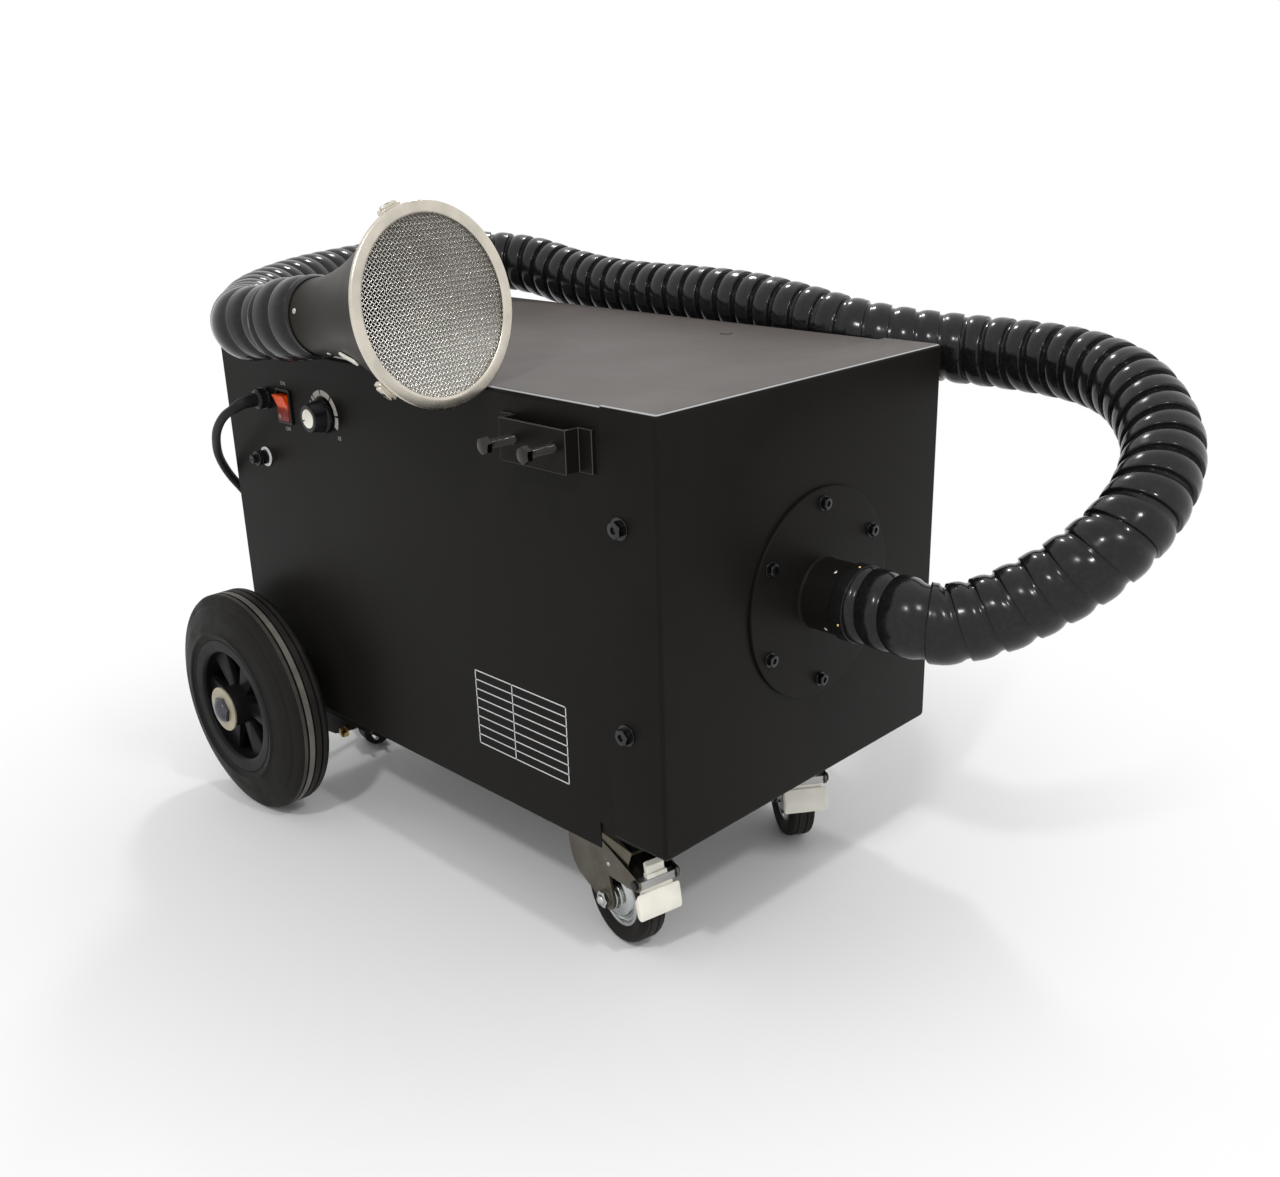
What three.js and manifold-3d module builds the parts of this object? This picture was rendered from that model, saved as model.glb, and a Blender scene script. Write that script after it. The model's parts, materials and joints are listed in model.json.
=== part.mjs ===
// Mobile welding fume extractor: a sheet-metal cabinet on two large wheels and two braked casters,
// with a filter and a blower inside and a ribbed suction hose that ends in a cone-shaped hood.
// Millimetres, +Z up. The inlet end faces +X and the controls face -Y. Places are counted from the
// middle of the cabinet, on the floor, and the whole is moved at the end so that its own middle
// stands on the origin.
import * as THREE from 'three';
import { mergeVertices } from 'three/addons/utils/BufferGeometryUtils.js';
import Module from 'manifold-3d';

const wasm = await Module();
wasm.setup();

// How many sides round shapes have
const largeSides = 24;
const roundSides = 20;
const middleSides = 16;
const smallSides = 12;
const boltSides = 8;
const bendSegments = 2;

// Clearances and overruns
const gap = 0.3;
const runGap = 0.4;
const overrun = 2;
const weldDistance = 0.001;

// Cabinet. Its base stands above the large wheels' axle, and its heights are counted from the base
const cabinetLength = 650;
const cabinetWidth = 385.5;
const cabinetHeight = 384;
const baseAboveAxle = 14;
const skirtDrop = 16;
const panRise = 2;
const sheet = 1.5;
const edgeRadius = 5;
const panFrontRadius = 3.5;
const panDepth = 61;
const panLipDepth = 24;
const skirtStepFromFront = 78;
const reliefWidth = 3;
const reliefHeight = 26;
const baseRecess = 30;
const baseFlange = 18;
const rearPanelFlange = 14;
const lidScrewHeadRadius = 6;
const lidScrewHeadHeight = 1.2;
const lidScrewFromFront = 210;
const lidScrewFromMiddle = 128;

// Exhaust louvres in the rear panel
const louvreLength = 110;
const louvreHeight = 9;
const louvreDepth = 7;
const louvrePitch = 24;
const louvreRows = 5;
const louvreColumnOffset = 75;
const louvreFromTop = 71;

// Inlet flange, collar and cuff
const inletBelowMiddle = 2.9;
const inletOffset = 10.7;
const flangeRadius = 97;
const flangeThickness = 3;
const collarRadius = 32.7;
const collarWall = 1.6;
const collarLength = 46;
const cuffFromWall = 28;
const cuffLength = 22;
const cuffWall = 2;
const flangeBoltCount = 6;
const flangeBoltCircle = 83.3;
const flangeBoltShank = 3;
const flangeBoltLength = 14;
const flangeBoltAcross = 10;
const flangeBoltHead = 4.5;
const flangeBoltWasher = 6.6;
const washerThickness = 1.2;

// Cover bolts
const coverBoltShank = 4;
const coverBoltLength = 16;
const coverBoltAcross = 13;
const coverBoltHead = 6;
const coverBoltWasher = 9.5;
const coverBoltFromFront = 42;
const coverBoltFromTop = 96;
const coverBoltFromBottom = 106;

// Clamp bracket and its screws
const bracketFromFront = 165;
const bracketWebWidth = 81;
const bracketFlange = 15;
const bracketFromTop = 57;
const bracketHeight = 36.5;
const bracketDepth = 17;
const bracketSheet = 2.5;
const screwRadius = 4;
const screwShank = 36;
const screwProud = 26.5;
const screwAcross = 13;
const screwHead = 5.3;
const screwSpacing = 49;
const screwFromLeft = 17;
const screwFromBottom = 20.3;

// Controls
const controlFromTop = 63;
const glandFromRear = 83;
const glandFromTop = 58.5;
const glandRadius = 10.5;
const glandLength = 14;
const glandTail = 12;
const glandCollarRadius = 12;
const glandCollar = 4;
const rockerFromRear = 119;
const bezelWidth = 26;
const bezelHeight = 36;
const bezelProud = 2.4;
const rockerWidth = 20;
const rockerHeight = 29;
const rockerPlay = 0.5;
const rockerProud = 3.5;
const rockerDepth = 5;
const rockerTiltDegrees = 11;
const switchBodyDepth = 20;
const knobFromRear = 190.5;
const knobRadius = 17.5;
const knobTopRadius = 14;
const knobProud = 18.5;
const knobSkirt = 4;
const knobShaft = 3;
const knobShaftLength = 12;
const knobCapRadius = 11;
const knobCapThickness = 1.4;
const knobMark = 1.6;
const fuseFromRear = 69;
const fuseFromTop = 123.5;
const fuseRingRadius = 10.5;
const fuseRing = 1.6;
const fuseBarrelRadius = 7.6;
const fuseBarrelProud = 13;
const fuseBarrelTail = 20;
const fuseBore = 5.4;
const fuseCapHead = 4.6;
const fuseCapProud = 5.5;
const fuseCapStem = 10;
const fuseSlot = 1.2;

// Large wheels and their axle
const wheelRadius = 125;
const wheelWidth = 44;
const wheelFromRear = 49.1;
const wheelFromWall = 19.5;
const wheelSides = 24;
const rimRadius = 77;
const rimWidth = 38;
const rimWall = 9;
const wheelRidgeRadius = 85;
const wheelRidge = 2.2;
const wheelRidgeWidth = 5;
const treadGroove = 3;
const spokeCount = 6;
const spokeWidth = 9;
const spokeWebThickness = 5;
const spokeRibDepth = 26;
const hubRadius = 24;
const hubWidth = 46;
const axleRadius = 10;
const axleCollarRadius = 14;
const hubWasherRadius = 25;
const hubWasher = 2.5;
const hubNutAcross = 28;
const hubNutHeight = 13;
const hubNutDome = 3;
const axleTip = 8;
const axleNotch = 26;
const axleBracketLength = 165;
const axleBracketRear = 24;
const axleBracketDepth = 42;
const axleBracketFoot = 14;
const axleBracketSheet = 5;
const axleBracketInset = 22;
const axleBracketFront = 16;

// Casters
const casterRadius = 48;
const casterWidth = 28;
const casterSides = 16;
const casterTrail = 38;
const casterFromFront = 139;
const casterFromSide = 57.75;
const casterNearTurnDegrees = -11;
const casterFarTurnDegrees = -36;
const topPlateLength = 104;
const topPlateWidth = 84;
const topPlateThickness = 3;
const raceRadius = 27;
const raceInner = 22;
const raceHeight = 16;
const kingpinRadius = 6;
const kingpinHead = 10;
const kingpinHeadHeight = 3;
const crownThickness = 3;
const crownRadius = 29;
const crownDrop = 19.4;
const cheekSheet = 2.5;
const cheekOutside = 22;
const hubRimRadius = 32;
const hubRimWidth = 20;
const hubStepRadius = 22;
const hubStepWidth = 26;
const hubBossRadius = 12;
const hubBossWidth = 38;
const axleBoltRadius = 5;
const axleBoltAcross = 15;
const axleBoltHead = 6;
const axleBoltDome = 4;
const pedalAheadOfTyre = 1;
const pedalAboveAxle = 38;
const pedalPin = 2.6;
const pedalBarrel = 4.2;
const pedalHalfWidth = 23;
const pedalThickness = 2.2;
const tabHalfWidth = 9;
const hoodTopHalf = 14;

// Filter, partition, blower and motor
const partitionFromRear = 293;
const partitionFlange = 16;
const spigotRadius = 62;
const spigotLength = 22;
const filterFromFront = 106.7;
const filterPleats = 18;
const filterOutside = 134;
const filterInside = 116;
const filterCore = 74;
const filterCap = 6;
const filterCapRadius = 138;
const filterBore = 64;
const scrollDepth = 78;
const scrollSheet = 2;
const scrollStart = 104;
const scrollGrowth = 46;
const scrollHeadroom = 41.1;
const scrollMouth = 58;
const scrollMotorHole = 30;
const impellerRadius = 92;
const impellerWidth = 56;
const impellerBladeCount = 9;
const impellerBladeThickness = 2.5;
const impellerDisc = 2.5;
const impellerEye = 56;
const impellerHubRadius = 16;
const motorRadius = 66;
const motorLength = 150;
const motorFlange = 6;
const motorFlangeRadius = 76;
const motorFinCount = 10;
const motorFin = 5;
const motorFinThickness = 3;
const shaftRadius = 7;

// Hood
const hoodFromFront = 202;
const hoodFromSide = 41.15;
const hoodAboveLid = 69.3;
const hoodForwardShare = [0.99, 0.06, 0.13];
const hoodRingRadius = 82.8;
const hoodRingInside = 72.4;
const hoodRingThickness = 3;
const hoodRingWrap = 12;
const hoodWall = 1.5;
const hoodConeLength = 165;
const hoodNeckRadius = 34;
const hoodNeckLength = 57;
const hoodMeshRadius = 78.4;
const hoodMeshThickness = 1.2;
const hoodMeshPitch = 18;
const hoodMeshWire = 3.4;
const hoodTabWidth = 20;
const hoodTabReach = 4;
const hoodTabDepth = 9;
const hoodTabTurns = [-18, 102, -135];

// Suction hose
const hoseRadius = 34.5;
const hoseNeckRadius = 31.2;
const hoseBore = 28;
const hoseRibs = 54;
const hoseStartRun = 30;
const hoseStartShare = 1.6;

// Mains cord
const cordRadius = 4.7;
const cordSides = 8;
const cordSteps = 32;
const floorGap = 0.2;
const coilRadius = 55;
const coilPitch = 10.3;
const coilTurns = 3.375;
const coilX = -408;
const coilY = 30;
const coilStart = 0;
const coilSteps = 16;
const coilSides = 6;
const coilTail = 60;
const coilTailSteps = 6;
const plugBodyRadius = 18;
const plugBodyLength = 34;
const plugReliefLength = 26;
const plugReliefRadius = 7;
const plugPinRadius = 2.4;
const plugPinLength = 19;
const plugPinSpacing = 19;

// Shapes of outlines, as shares of the sizes that they follow
const lipShare = 0.82;
const treadShare = 0.62;
const shoulderShare = 0.72;

// Derived places
const halfLength = cabinetLength / 2;
const halfWidth = cabinetWidth / 2;
const baseUnderside = wheelRadius + baseAboveAxle;
const skirtBottom = baseUnderside - skirtDrop;
const panBottom = baseUnderside + panRise;
const cabinetTop = baseUnderside + cabinetHeight;
const shellHalf = halfWidth - sheet - gap;
const shellTop = cabinetTop - sheet - gap;
const wallY = -shellHalf;
const chamberHalf = (shellTop - baseUnderside) / 2;
const inletHeight = baseUnderside + chamberHalf - inletBelowMiddle;
const coverBoltHeights = [cabinetTop - coverBoltFromTop, panBottom + coverBoltFromBottom];
const bracketLeft = halfLength - bracketFromFront;
const bracketBottom = cabinetTop - bracketFromTop;
const screwHeight = bracketBottom + screwFromBottom;
const controlHeight = cabinetTop - controlFromTop;
const glandX = glandFromRear - halfLength;
const glandHeight = cabinetTop - glandFromTop;
const rockerX = rockerFromRear - halfLength;
const knobX = knobFromRear - halfLength;
const fuseX = fuseFromRear - halfLength;
const fuseHeight = cabinetTop - fuseFromTop;
const crownTop = baseUnderside - crownDrop;
const pedalPivotU = casterTrail + casterRadius + pedalAheadOfTyre;
const pedalPivotZ = casterRadius + pedalAboveAxle;
const hoodCentre = [halfLength - hoodFromFront, -halfWidth - hoodFromSide, cabinetTop + hoodAboveLid];
const wheelX = wheelFromRear - halfLength;
const wheelInside = halfWidth + wheelFromWall;
const wheelOutside = wheelInside + wheelWidth;
const hubOutside = (wheelInside + wheelOutside + hubWidth) / 2;
const nutOutside = hubOutside + gap + hubWasher + hubNutHeight + hubNutDome;
const cuffEnd = halfLength + gap + cuffFromWall + cuffLength;
const rad = THREE.MathUtils.degToRad;
const X = new THREE.Vector3(1, 0, 0);
const Y = new THREE.Vector3(0, 1, 0);
const Z = new THREE.Vector3(0, 0, 1);

// Finishes
const blackPaint = finish(0x262320, 0.45, 0.35);
const blackRubber = finish(0x1c1b1a, 0.75, 0);
const blackPlastic = finish(0x141414, 0.4, 0);
const hoseBlack = finish(0x161617, 0.25, 0);
const zinc = finish(0xb9bcc0, 0.35, 0.9);
const blackSteel = finish(0x1d1d1f, 0.4, 0.8);
const stainless = finish(0xd8d0c4, 0.3, 0.95);
const creamPaint = finish(0xe6e2d2, 0.45, 0.1);
const redPlastic = finish(0xb8281a, 0.3, 0);
const filterPaper = finish(0xd9d4c4, 0.9, 0);
const castGrey = finish(0x6d7072, 0.5, 0.6);

function finish(colour, roughness, metalness) {
  return new THREE.MeshStandardMaterial({ color: colour, roughness, metalness });
}

// A closed geometry as a solid that can be joined and cut
function solidOf(geometry) {
  const bare = geometry.clone();
  bare.deleteAttribute('normal');
  bare.deleteAttribute('uv');
  const merged = mergeVertices(bare, weldDistance);
  const corners = merged.index.array;
  const kept = [];
  for (let i = 0; i < corners.length; i += 3) {
    const [a, b, c] = [corners[i], corners[i + 1], corners[i + 2]];
    if (a !== b && b !== c && c !== a) kept.push(a, b, c);
  }
  return new wasm.Manifold(new wasm.Mesh({
    numProp: 3,
    vertProperties: new Float32Array(merged.attributes.position.array),
    triVerts: new Uint32Array(kept)
  }));
}

// The first geometry with the others joined to it
function joined(...geometries) {
  return geometries.map(solidOf).reduce((whole, piece) => whole.add(piece));
}

// A solid with geometries cut out of it
function cut(solid, ...geometries) {
  return geometries.map(solidOf).reduce((whole, tool) => whole.subtract(tool), solid);
}

function geometryOf(solid) {
  const { vertProperties, triVerts } = solid.getMesh();
  const geometry = new THREE.BufferGeometry();
  geometry.setAttribute('position', new THREE.BufferAttribute(vertProperties, 3));
  geometry.setIndex(new THREE.BufferAttribute(triVerts, 1));
  return geometry;
}

function piece(name, shape, material) {
  const mesh = new THREE.Mesh(shape.isBufferGeometry ? shape : geometryOf(shape), material);
  mesh.name = name;
  return mesh;
}

// A box between a low and a high value on each axis
function block([x0, x1], [y0, y1], [z0, z1]) {
  const box = new THREE.BoxGeometry(x1 - x0, y1 - y0, z1 - z0);
  return box.translate((x0 + x1) / 2, (y0 + y1) / 2, (z0 + z1) / 2);
}

// An outline swept straight along an axis. Along x it is drawn in Y and Z, along y in X and Z
function swept(shape, axis, low, high, curveSegments = 8) {
  const geometry = new THREE.ExtrudeGeometry(
    shape, { depth: high - low, bevelEnabled: false, curveSegments }
  );
  if (axis === 'x') geometry.applyMatrix4(new THREE.Matrix4().makeBasis(Y, Z, X)).translate(low, 0, 0);
  if (axis === 'y') geometry.applyMatrix4(
    new THREE.Matrix4().makeBasis(X, Z, Y.clone().negate())
  ).translate(0, high, 0);
  if (axis === 'z') geometry.translate(0, 0, low);
  return geometry;
}

// A profile of radius and height turned round an axis, with its points in either order
function turned(profile, axis, sides = roundSides, start = 0) {
  const area = profile.reduce((sum, [r, h], i) => {
    const [nextR, nextH] = profile[(i + 1) % profile.length];
    return sum + r * nextH - nextR * h;
  }, 0);
  const points = (area < 0 ? [...profile].reverse() : profile).map(([r, h]) => new THREE.Vector2(r, h));
  if (points[0].x > 0) points.push(points[0].clone());
  const geometry = new THREE.LatheGeometry(points, sides, start);
  if (axis === 'x') geometry.rotateZ(-Math.PI / 2);
  if (axis === 'z') geometry.rotateX(Math.PI / 2);
  if (axis === '-y') geometry.rotateX(Math.PI);
  return geometry;
}

// A tube between two heights, as a closed profile
function tubeProfile(inner, outer, low, high) {
  return [[inner, low], [outer, low], [outer, high], [inner, high]];
}

function rodProfile(radius, low, high) {
  return [[0, low], [radius, low], [radius, high], [0, high]];
}

function polygon(points) {
  return new THREE.Shape(points.map(([x, y]) => new THREE.Vector2(x, y)));
}

// How far the corners of a round hole lie out, so that its flats clear what turns or slides in it
function holeRadius(radius, sides = boltSides, clearance = gap) {
  return (radius + clearance) / Math.cos(Math.PI / sides);
}

// A round hole's outline that clears the radius by the gap
function hole(radius, x = 0, y = 0, sides = boltSides) {
  const reach = holeRadius(radius, sides);
  return polygon(Array.from({ length: sides }, (_, i) => {
    const turn = 2 * Math.PI * (i + 1 / 2) / sides;
    return [x + reach * Math.cos(turn), y + reach * Math.sin(turn)];
  }));
}

function hexagon(across) {
  const corner = across / Math.sqrt(3);
  return polygon(
    Array.from(
      { length: 6 }, (_, i) => [corner * Math.cos(i * Math.PI / 3), corner * Math.sin(i * Math.PI / 3)]
    )
  );
}

// Rings of points, all with the same count, joined into one closed skin with flat ends
function lofted(rings) {
  const count = rings[0].length;
  const positions = rings.flat().flatMap((p) => [p.x, p.y, p.z]);
  const faces = [];
  for (let i = 0; i + 1 < rings.length; i++) {
    for (let j = 0; j < count; j++) {
      const [a, b] = [i * count + j, i * count + (j + 1) % count];
      faces.push(a, b, b + count, a, b + count, a + count);
    }
  }
  const last = (rings.length - 1) * count;
  for (let j = 1; j + 1 < count; j++) {
    faces.push(0, j + 1, j, last, last + j, last + j + 1);
  }
  return facingOut(positions, faces);
}

// A geometry from points and faces, turned so that its faces point out
function facingOut(positions, faces) {
  let volume = 0;
  const at = (i) => new THREE.Vector3(positions[3 * i], positions[3 * i + 1], positions[3 * i + 2]);
  for (let i = 0; i < faces.length; i += 3) {
    volume += at(faces[i]).dot(at(faces[i + 1]).cross(at(faces[i + 2])));
  }
  const ordered = volume < 0 ? faces.slice().reverse() : faces;
  const geometry = new THREE.BufferGeometry();
  geometry.setAttribute('position', new THREE.Float32BufferAttribute(positions, 3));
  geometry.setIndex(ordered);
  return geometry;
}

// Circles of points square to a curve, one for each station and radius
function circlesAlong(curve, divisions, stations, sides) {
  const frames = curve.computeFrenetFrames(divisions, false);
  return stations.map(([station, radius]) => {
    const centre = curve.getPointAt(station / divisions);
    return Array.from({ length: sides }, (_, j) => {
      const turn = 2 * Math.PI * j / sides;
      return centre.clone()
        .addScaledVector(frames.normals[station], radius * Math.cos(turn))
        .addScaledVector(frames.binormals[station], radius * Math.sin(turn));
    });
  });
}

// A bolt along +Z: its shank below the seat at zero, its washer and hexagon head above
function hexBolt(shank, length, across, head, washer) {
  return joined(
    turned(rodProfile(shank, -length, washerThickness / 2), 'z', boltSides),
    turned(rodProfile(washer, 0, washerThickness), 'z', boltSides),
    swept(hexagon(across), 'z', washerThickness / 2, washerThickness + head)
  );
}

// A section across the cabinet, with its two top corners bent round
function bentSection(half, bottom, top, radius) {
  const shape = new THREE.Shape();
  shape.moveTo(-half, bottom);
  shape.lineTo(half, bottom);
  shape.lineTo(half, top - radius);
  shape.absarc(half - radius, top - radius, radius, 0, Math.PI / 2, false);
  shape.lineTo(radius - half, top);
  shape.absarc(radius - half, top - radius, radius, Math.PI / 2, Math.PI, false);
  return shape;
}

// The cabinet's shell: a lid and two side walls folded from one sheet
function cabinetShell() {
  const front = halfLength - panFrontRadius - gap;
  const outside = swept(
    bentSection(shellHalf, skirtBottom, shellTop, edgeRadius), 'x', -halfLength, front, 4
  );
  const inside = swept(
    bentSection(shellHalf - sheet, skirtBottom - overrun, shellTop - sheet, edgeRadius - sheet),
    'x', -halfLength - overrun, front + overrun, 4);
  const stepX = halfLength - skirtStepFromFront;
  const allWidth = [-halfWidth, halfWidth];
  const throughWall = (radius, x, z) => swept(
    hole(radius, x, z, smallSides), 'y', wallY - overrun, wallY + sheet + overrun
  );
  const tools = [
    inside,
    block([stepX, halfLength], allWidth, [skirtBottom - overrun, panBottom + edgeRadius]),
    block(
      [stepX - reliefWidth, stepX + overrun], allWidth, [skirtBottom - overrun, skirtBottom + reliefHeight]
    ),
    throughWall(glandRadius - overrun, glandX, glandHeight),
    throughWall(knobShaft, knobX, controlHeight),
    throughWall(fuseBarrelRadius, fuseX, fuseHeight),
    block(
      [rockerX - bezelWidth / 2 + overrun - gap, rockerX + bezelWidth / 2 - overrun + gap],
      [wallY - overrun, wallY + sheet + overrun],
      [controlHeight - bezelHeight / 2 + overrun - gap, controlHeight + bezelHeight / 2 - overrun + gap])
  ];
  const boltX = halfLength - coverBoltFromFront;
  for (const z of coverBoltHeights) {
    tools.push(swept(hole(coverBoltShank, boltX, z), 'y', -halfWidth - overrun, halfWidth + overrun));
  }
  tools.push(
    block(
      [wheelX - axleNotch / 2, wheelX + axleNotch / 2], allWidth, [skirtBottom - overrun, baseUnderside]
    )
  );
  const screwX = halfLength - lidScrewFromFront;
  const headAt = (y) => turned(
    rodProfile(lidScrewHeadRadius, shellTop - sheet / 2, shellTop + lidScrewHeadHeight), 'z', boltSides
  )
    .translate(screwX, y, 0);
  const shell = cut(solidOf(outside), ...tools);
  return piece('cabinet_shell', shell.add(joined(headAt(lidScrewFromMiddle))), blackPaint);
}

// A pressed tray's block, closed towards +X: its long edges and its front edges are rounded
function trayBlock(back, front, half, bottom, top, radius, frontRadius) {
  const shape = new THREE.Shape();
  shape.absarc(half - radius, bottom + radius, radius, -Math.PI / 2, 0, false);
  shape.absarc(half - radius, top - radius, radius, 0, Math.PI / 2, false);
  shape.absarc(radius - half, top - radius, radius, Math.PI / 2, Math.PI, false);
  shape.absarc(radius - half, bottom + radius, radius, Math.PI, 1.5 * Math.PI, false);
  const geometry = new THREE.ExtrudeGeometry(shape, {
    depth: front - back - frontRadius, curveSegments: bendSegments,
    bevelSize: frontRadius, bevelOffset: -frontRadius, bevelThickness: frontRadius,
    bevelSegments: bendSegments
  });
  geometry.applyMatrix4(new THREE.Matrix4().makeBasis(Y, Z, X)).translate(back, 0, 0);
  const kept = block(
    [back, front + overrun], [-half - overrun, half + overrun], [bottom - overrun, top + overrun]
  );
  return solidOf(geometry).intersect(solidOf(kept));
}

// The removable front pan: the inlet end with flanges that lap over the shell
function frontPan() {
  const back = halfLength - panDepth;
  const lipBack = halfLength - panLipDepth;
  const outside = trayBlock(back, halfLength, halfWidth, panBottom, cabinetTop, edgeRadius, panFrontRadius);
  const inner = halfWidth - sheet;
  const hollow = trayBlock(back - overrun, halfLength - sheet, inner, panBottom + sheet, cabinetTop - sheet,
    edgeRadius - sheet, panFrontRadius - sheet);
  const boltX = halfLength - coverBoltFromFront;
  const tools = [
    block([back - overrun, lipBack], [-inner, inner], [panBottom - overrun, panBottom + sheet + overrun]),
    swept(
      hole(collarRadius, inletOffset, inletHeight, roundSides), 'x', halfLength - sheet - overrun,
      halfLength + overrun
    )
  ];
  for (const { y, z } of flangeBoltPlaces()) {
    tools.push(swept(hole(flangeBoltShank, y, z), 'x', halfLength - sheet - overrun, halfLength + overrun));
  }
  for (const z of coverBoltHeights) {
    tools.push(swept(hole(coverBoltShank, boltX, z), 'y', -halfWidth - overrun, halfWidth + overrun));
  }
  return piece('front_pan', cut(outside.subtract(hollow), ...tools), blackPaint);
}

// The base: a tray between the skirts, set back from the inlet end, with its rims turned up
function basePan() {
  const half = shellHalf - sheet - gap;
  const ends = [-halfLength + sheet + gap, halfLength - baseRecess];
  const outside = block(ends, [-half, half], [baseUnderside, baseUnderside + baseFlange]);
  const inside = block(
    [ends[0] + sheet, ends[1] - sheet], [sheet - half, half - sheet],
    [baseUnderside + sheet, baseUnderside + baseFlange + overrun]);
  return piece('base_pan', cut(solidOf(outside), inside), blackPaint);
}

// The rear panel with two columns of exhaust louvres, each a slot under a sloping hood
function rearPanel() {
  const half = shellHalf - sheet - gap;
  const bottom = baseUnderside + baseFlange + gap;
  const top = shellTop - sheet - gap;
  const face = -halfLength;
  const outside = swept(bentSection(half, bottom, top, edgeRadius), 'x', face, face + rearPanelFlange, 4);
  const inside = swept(
    bentSection(half - sheet, bottom + sheet, top - sheet, edgeRadius - sheet),
    'x', face + sheet, face + rearPanelFlange + overrun, 4);
  let panel = cut(solidOf(outside), inside);
  for (const side of [-1, 1]) {
    for (let row = 0; row < louvreRows; row++) {
      const y = side * louvreColumnOffset;
      const z = cabinetTop - louvreFromTop - row * louvrePitch;
      const span = [y - louvreLength / 2, y + louvreLength / 2];
      const hood = polygon([[face, z], [face, z + louvreHeight + sheet], [face - louvreDepth, z]]);
      const hollow = polygon([[face + overrun, z - overrun], [
        face + overrun, z + louvreHeight
      ], [face, z + louvreHeight],
        [face - louvreDepth + sheet, z], [face - louvreDepth + sheet, z - overrun]]);
      panel = panel.add(solidOf(swept(hood, 'y', span[0], span[1])));
      panel = panel.subtract(solidOf(swept(hollow, 'y', span[0] + sheet, span[1] - sheet)));
    }
  }
  return piece('rear_panel', panel, blackPaint);
}

function flangeBoltPlaces() {
  return Array.from({ length: flangeBoltCount }, (_, i) => {
    const turn = 2 * Math.PI * (i + 1 / 2) / flangeBoltCount;
    return {
      y: inletOffset + flangeBoltCircle * Math.cos(turn), z: inletHeight + flangeBoltCircle * Math.sin(turn)
    };
  });
}

// The inlet: a bolted plate with a collar, six bolts and the cuff that holds the hose
function inlet() {
  const group = new THREE.Group();
  const seat = halfLength + gap;
  const plate = joined(
    turned(
      tubeProfile(collarRadius - collarWall, flangeRadius, seat, seat + flangeThickness), 'x', largeSides
    ),
    turned(tubeProfile(collarRadius - collarWall, collarRadius, seat, seat + collarLength), 'x', roundSides)
  );
  const places = flangeBoltPlaces();
  const holes = places.map(({ y, z }) =>
    swept(
      hole(flangeBoltShank, y - inletOffset, z - inletHeight),
      'x', seat - overrun, seat + flangeThickness + overrun));
  const flange = piece('inlet_flange', cut(plate, ...holes), blackPaint);
  flange.position.set(0, inletOffset, inletHeight);
  group.add(flange);
  places.forEach(({ y, z }, i) => {
    const bolt = piece(`flange_bolt_${i + 1}`,
      hexBolt(flangeBoltShank, flangeBoltLength, flangeBoltAcross, flangeBoltHead, flangeBoltWasher),
      blackSteel);
    bolt.position.set(seat + flangeThickness + gap, y, z);
    bolt.rotation.y = Math.PI / 2;
    group.add(bolt);
  });
  const inner = holeRadius(collarRadius, roundSides);
  const cuff = piece('hose_cuff',
    turned(
      tubeProfile(inner, inner + cuffWall, seat + cuffFromWall, seat + cuffFromWall + cuffLength), 'x',
      roundSides
    ),
    blackSteel);
  cuff.position.set(0, inletOffset, inletHeight);
  group.add(cuff);
  return group;
}

// Four bolts that hold the front pan's side flanges to the shell
function coverBolts() {
  const group = new THREE.Group();
  const x = halfLength - coverBoltFromFront;
  for (const [label, side] of [['near', -1], ['far', 1]]) {
    coverBoltHeights.forEach((z, i) => {
      const bolt = piece(`cover_bolt_${label}_${i + 1}`,
        hexBolt(coverBoltShank, coverBoltLength, coverBoltAcross, coverBoltHead, coverBoltWasher),
        blackSteel);
      bolt.position.set(x, side * (halfWidth + gap), z);
      bolt.rotation.x = -side * Math.PI / 2;
      group.add(bolt);
    });
  }
  return group;
}

// The clamp: a hat-shaped strap on the near wall with two screws through its web
function clamp() {
  const group = new THREE.Group();
  const seat = wallY - gap;
  const right = bracketLeft + bracketWebWidth;
  const web = seat - bracketDepth;
  const inner = web + bracketSheet;
  const outline = polygon([
    [bracketLeft - bracketFlange, seat], [bracketLeft - bracketFlange, seat - bracketSheet],
    [bracketLeft, seat - bracketSheet], [bracketLeft, web], [right, web], [right, seat - bracketSheet],
    [right + bracketFlange, seat - bracketSheet], [right + bracketFlange, seat],
    [right - bracketSheet, seat], [right - bracketSheet, inner],
    [bracketLeft + bracketSheet, inner], [bracketLeft + bracketSheet, seat]
  ]);
  const strap = swept(outline, 'z', bracketBottom, bracketBottom + bracketHeight);
  const screwPlaces = [0, 1].map((i) => bracketLeft + screwFromLeft + i * screwSpacing);
  const holes = screwPlaces.map(
    (x) => swept(hole(screwRadius, x, screwHeight), 'y', web - overrun, inner + overrun)
  );
  group.add(piece('clamp_bracket', cut(solidOf(strap), ...holes), blackPaint));
  screwPlaces.forEach((x, i) => {
    const screw = joined(
      turned(rodProfile(screwRadius, -screwShank, screwHead / 2), 'z', boltSides),
      swept(hexagon(screwAcross), 'z', 0, screwHead)
    );
    const mesh = piece(`clamp_screw_${i + 1}`, screw, blackSteel);
    mesh.position.set(x, web - screwProud, screwHeight);
    mesh.rotation.x = Math.PI / 2;
    group.add(mesh);
  });
  return group;
}

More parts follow.
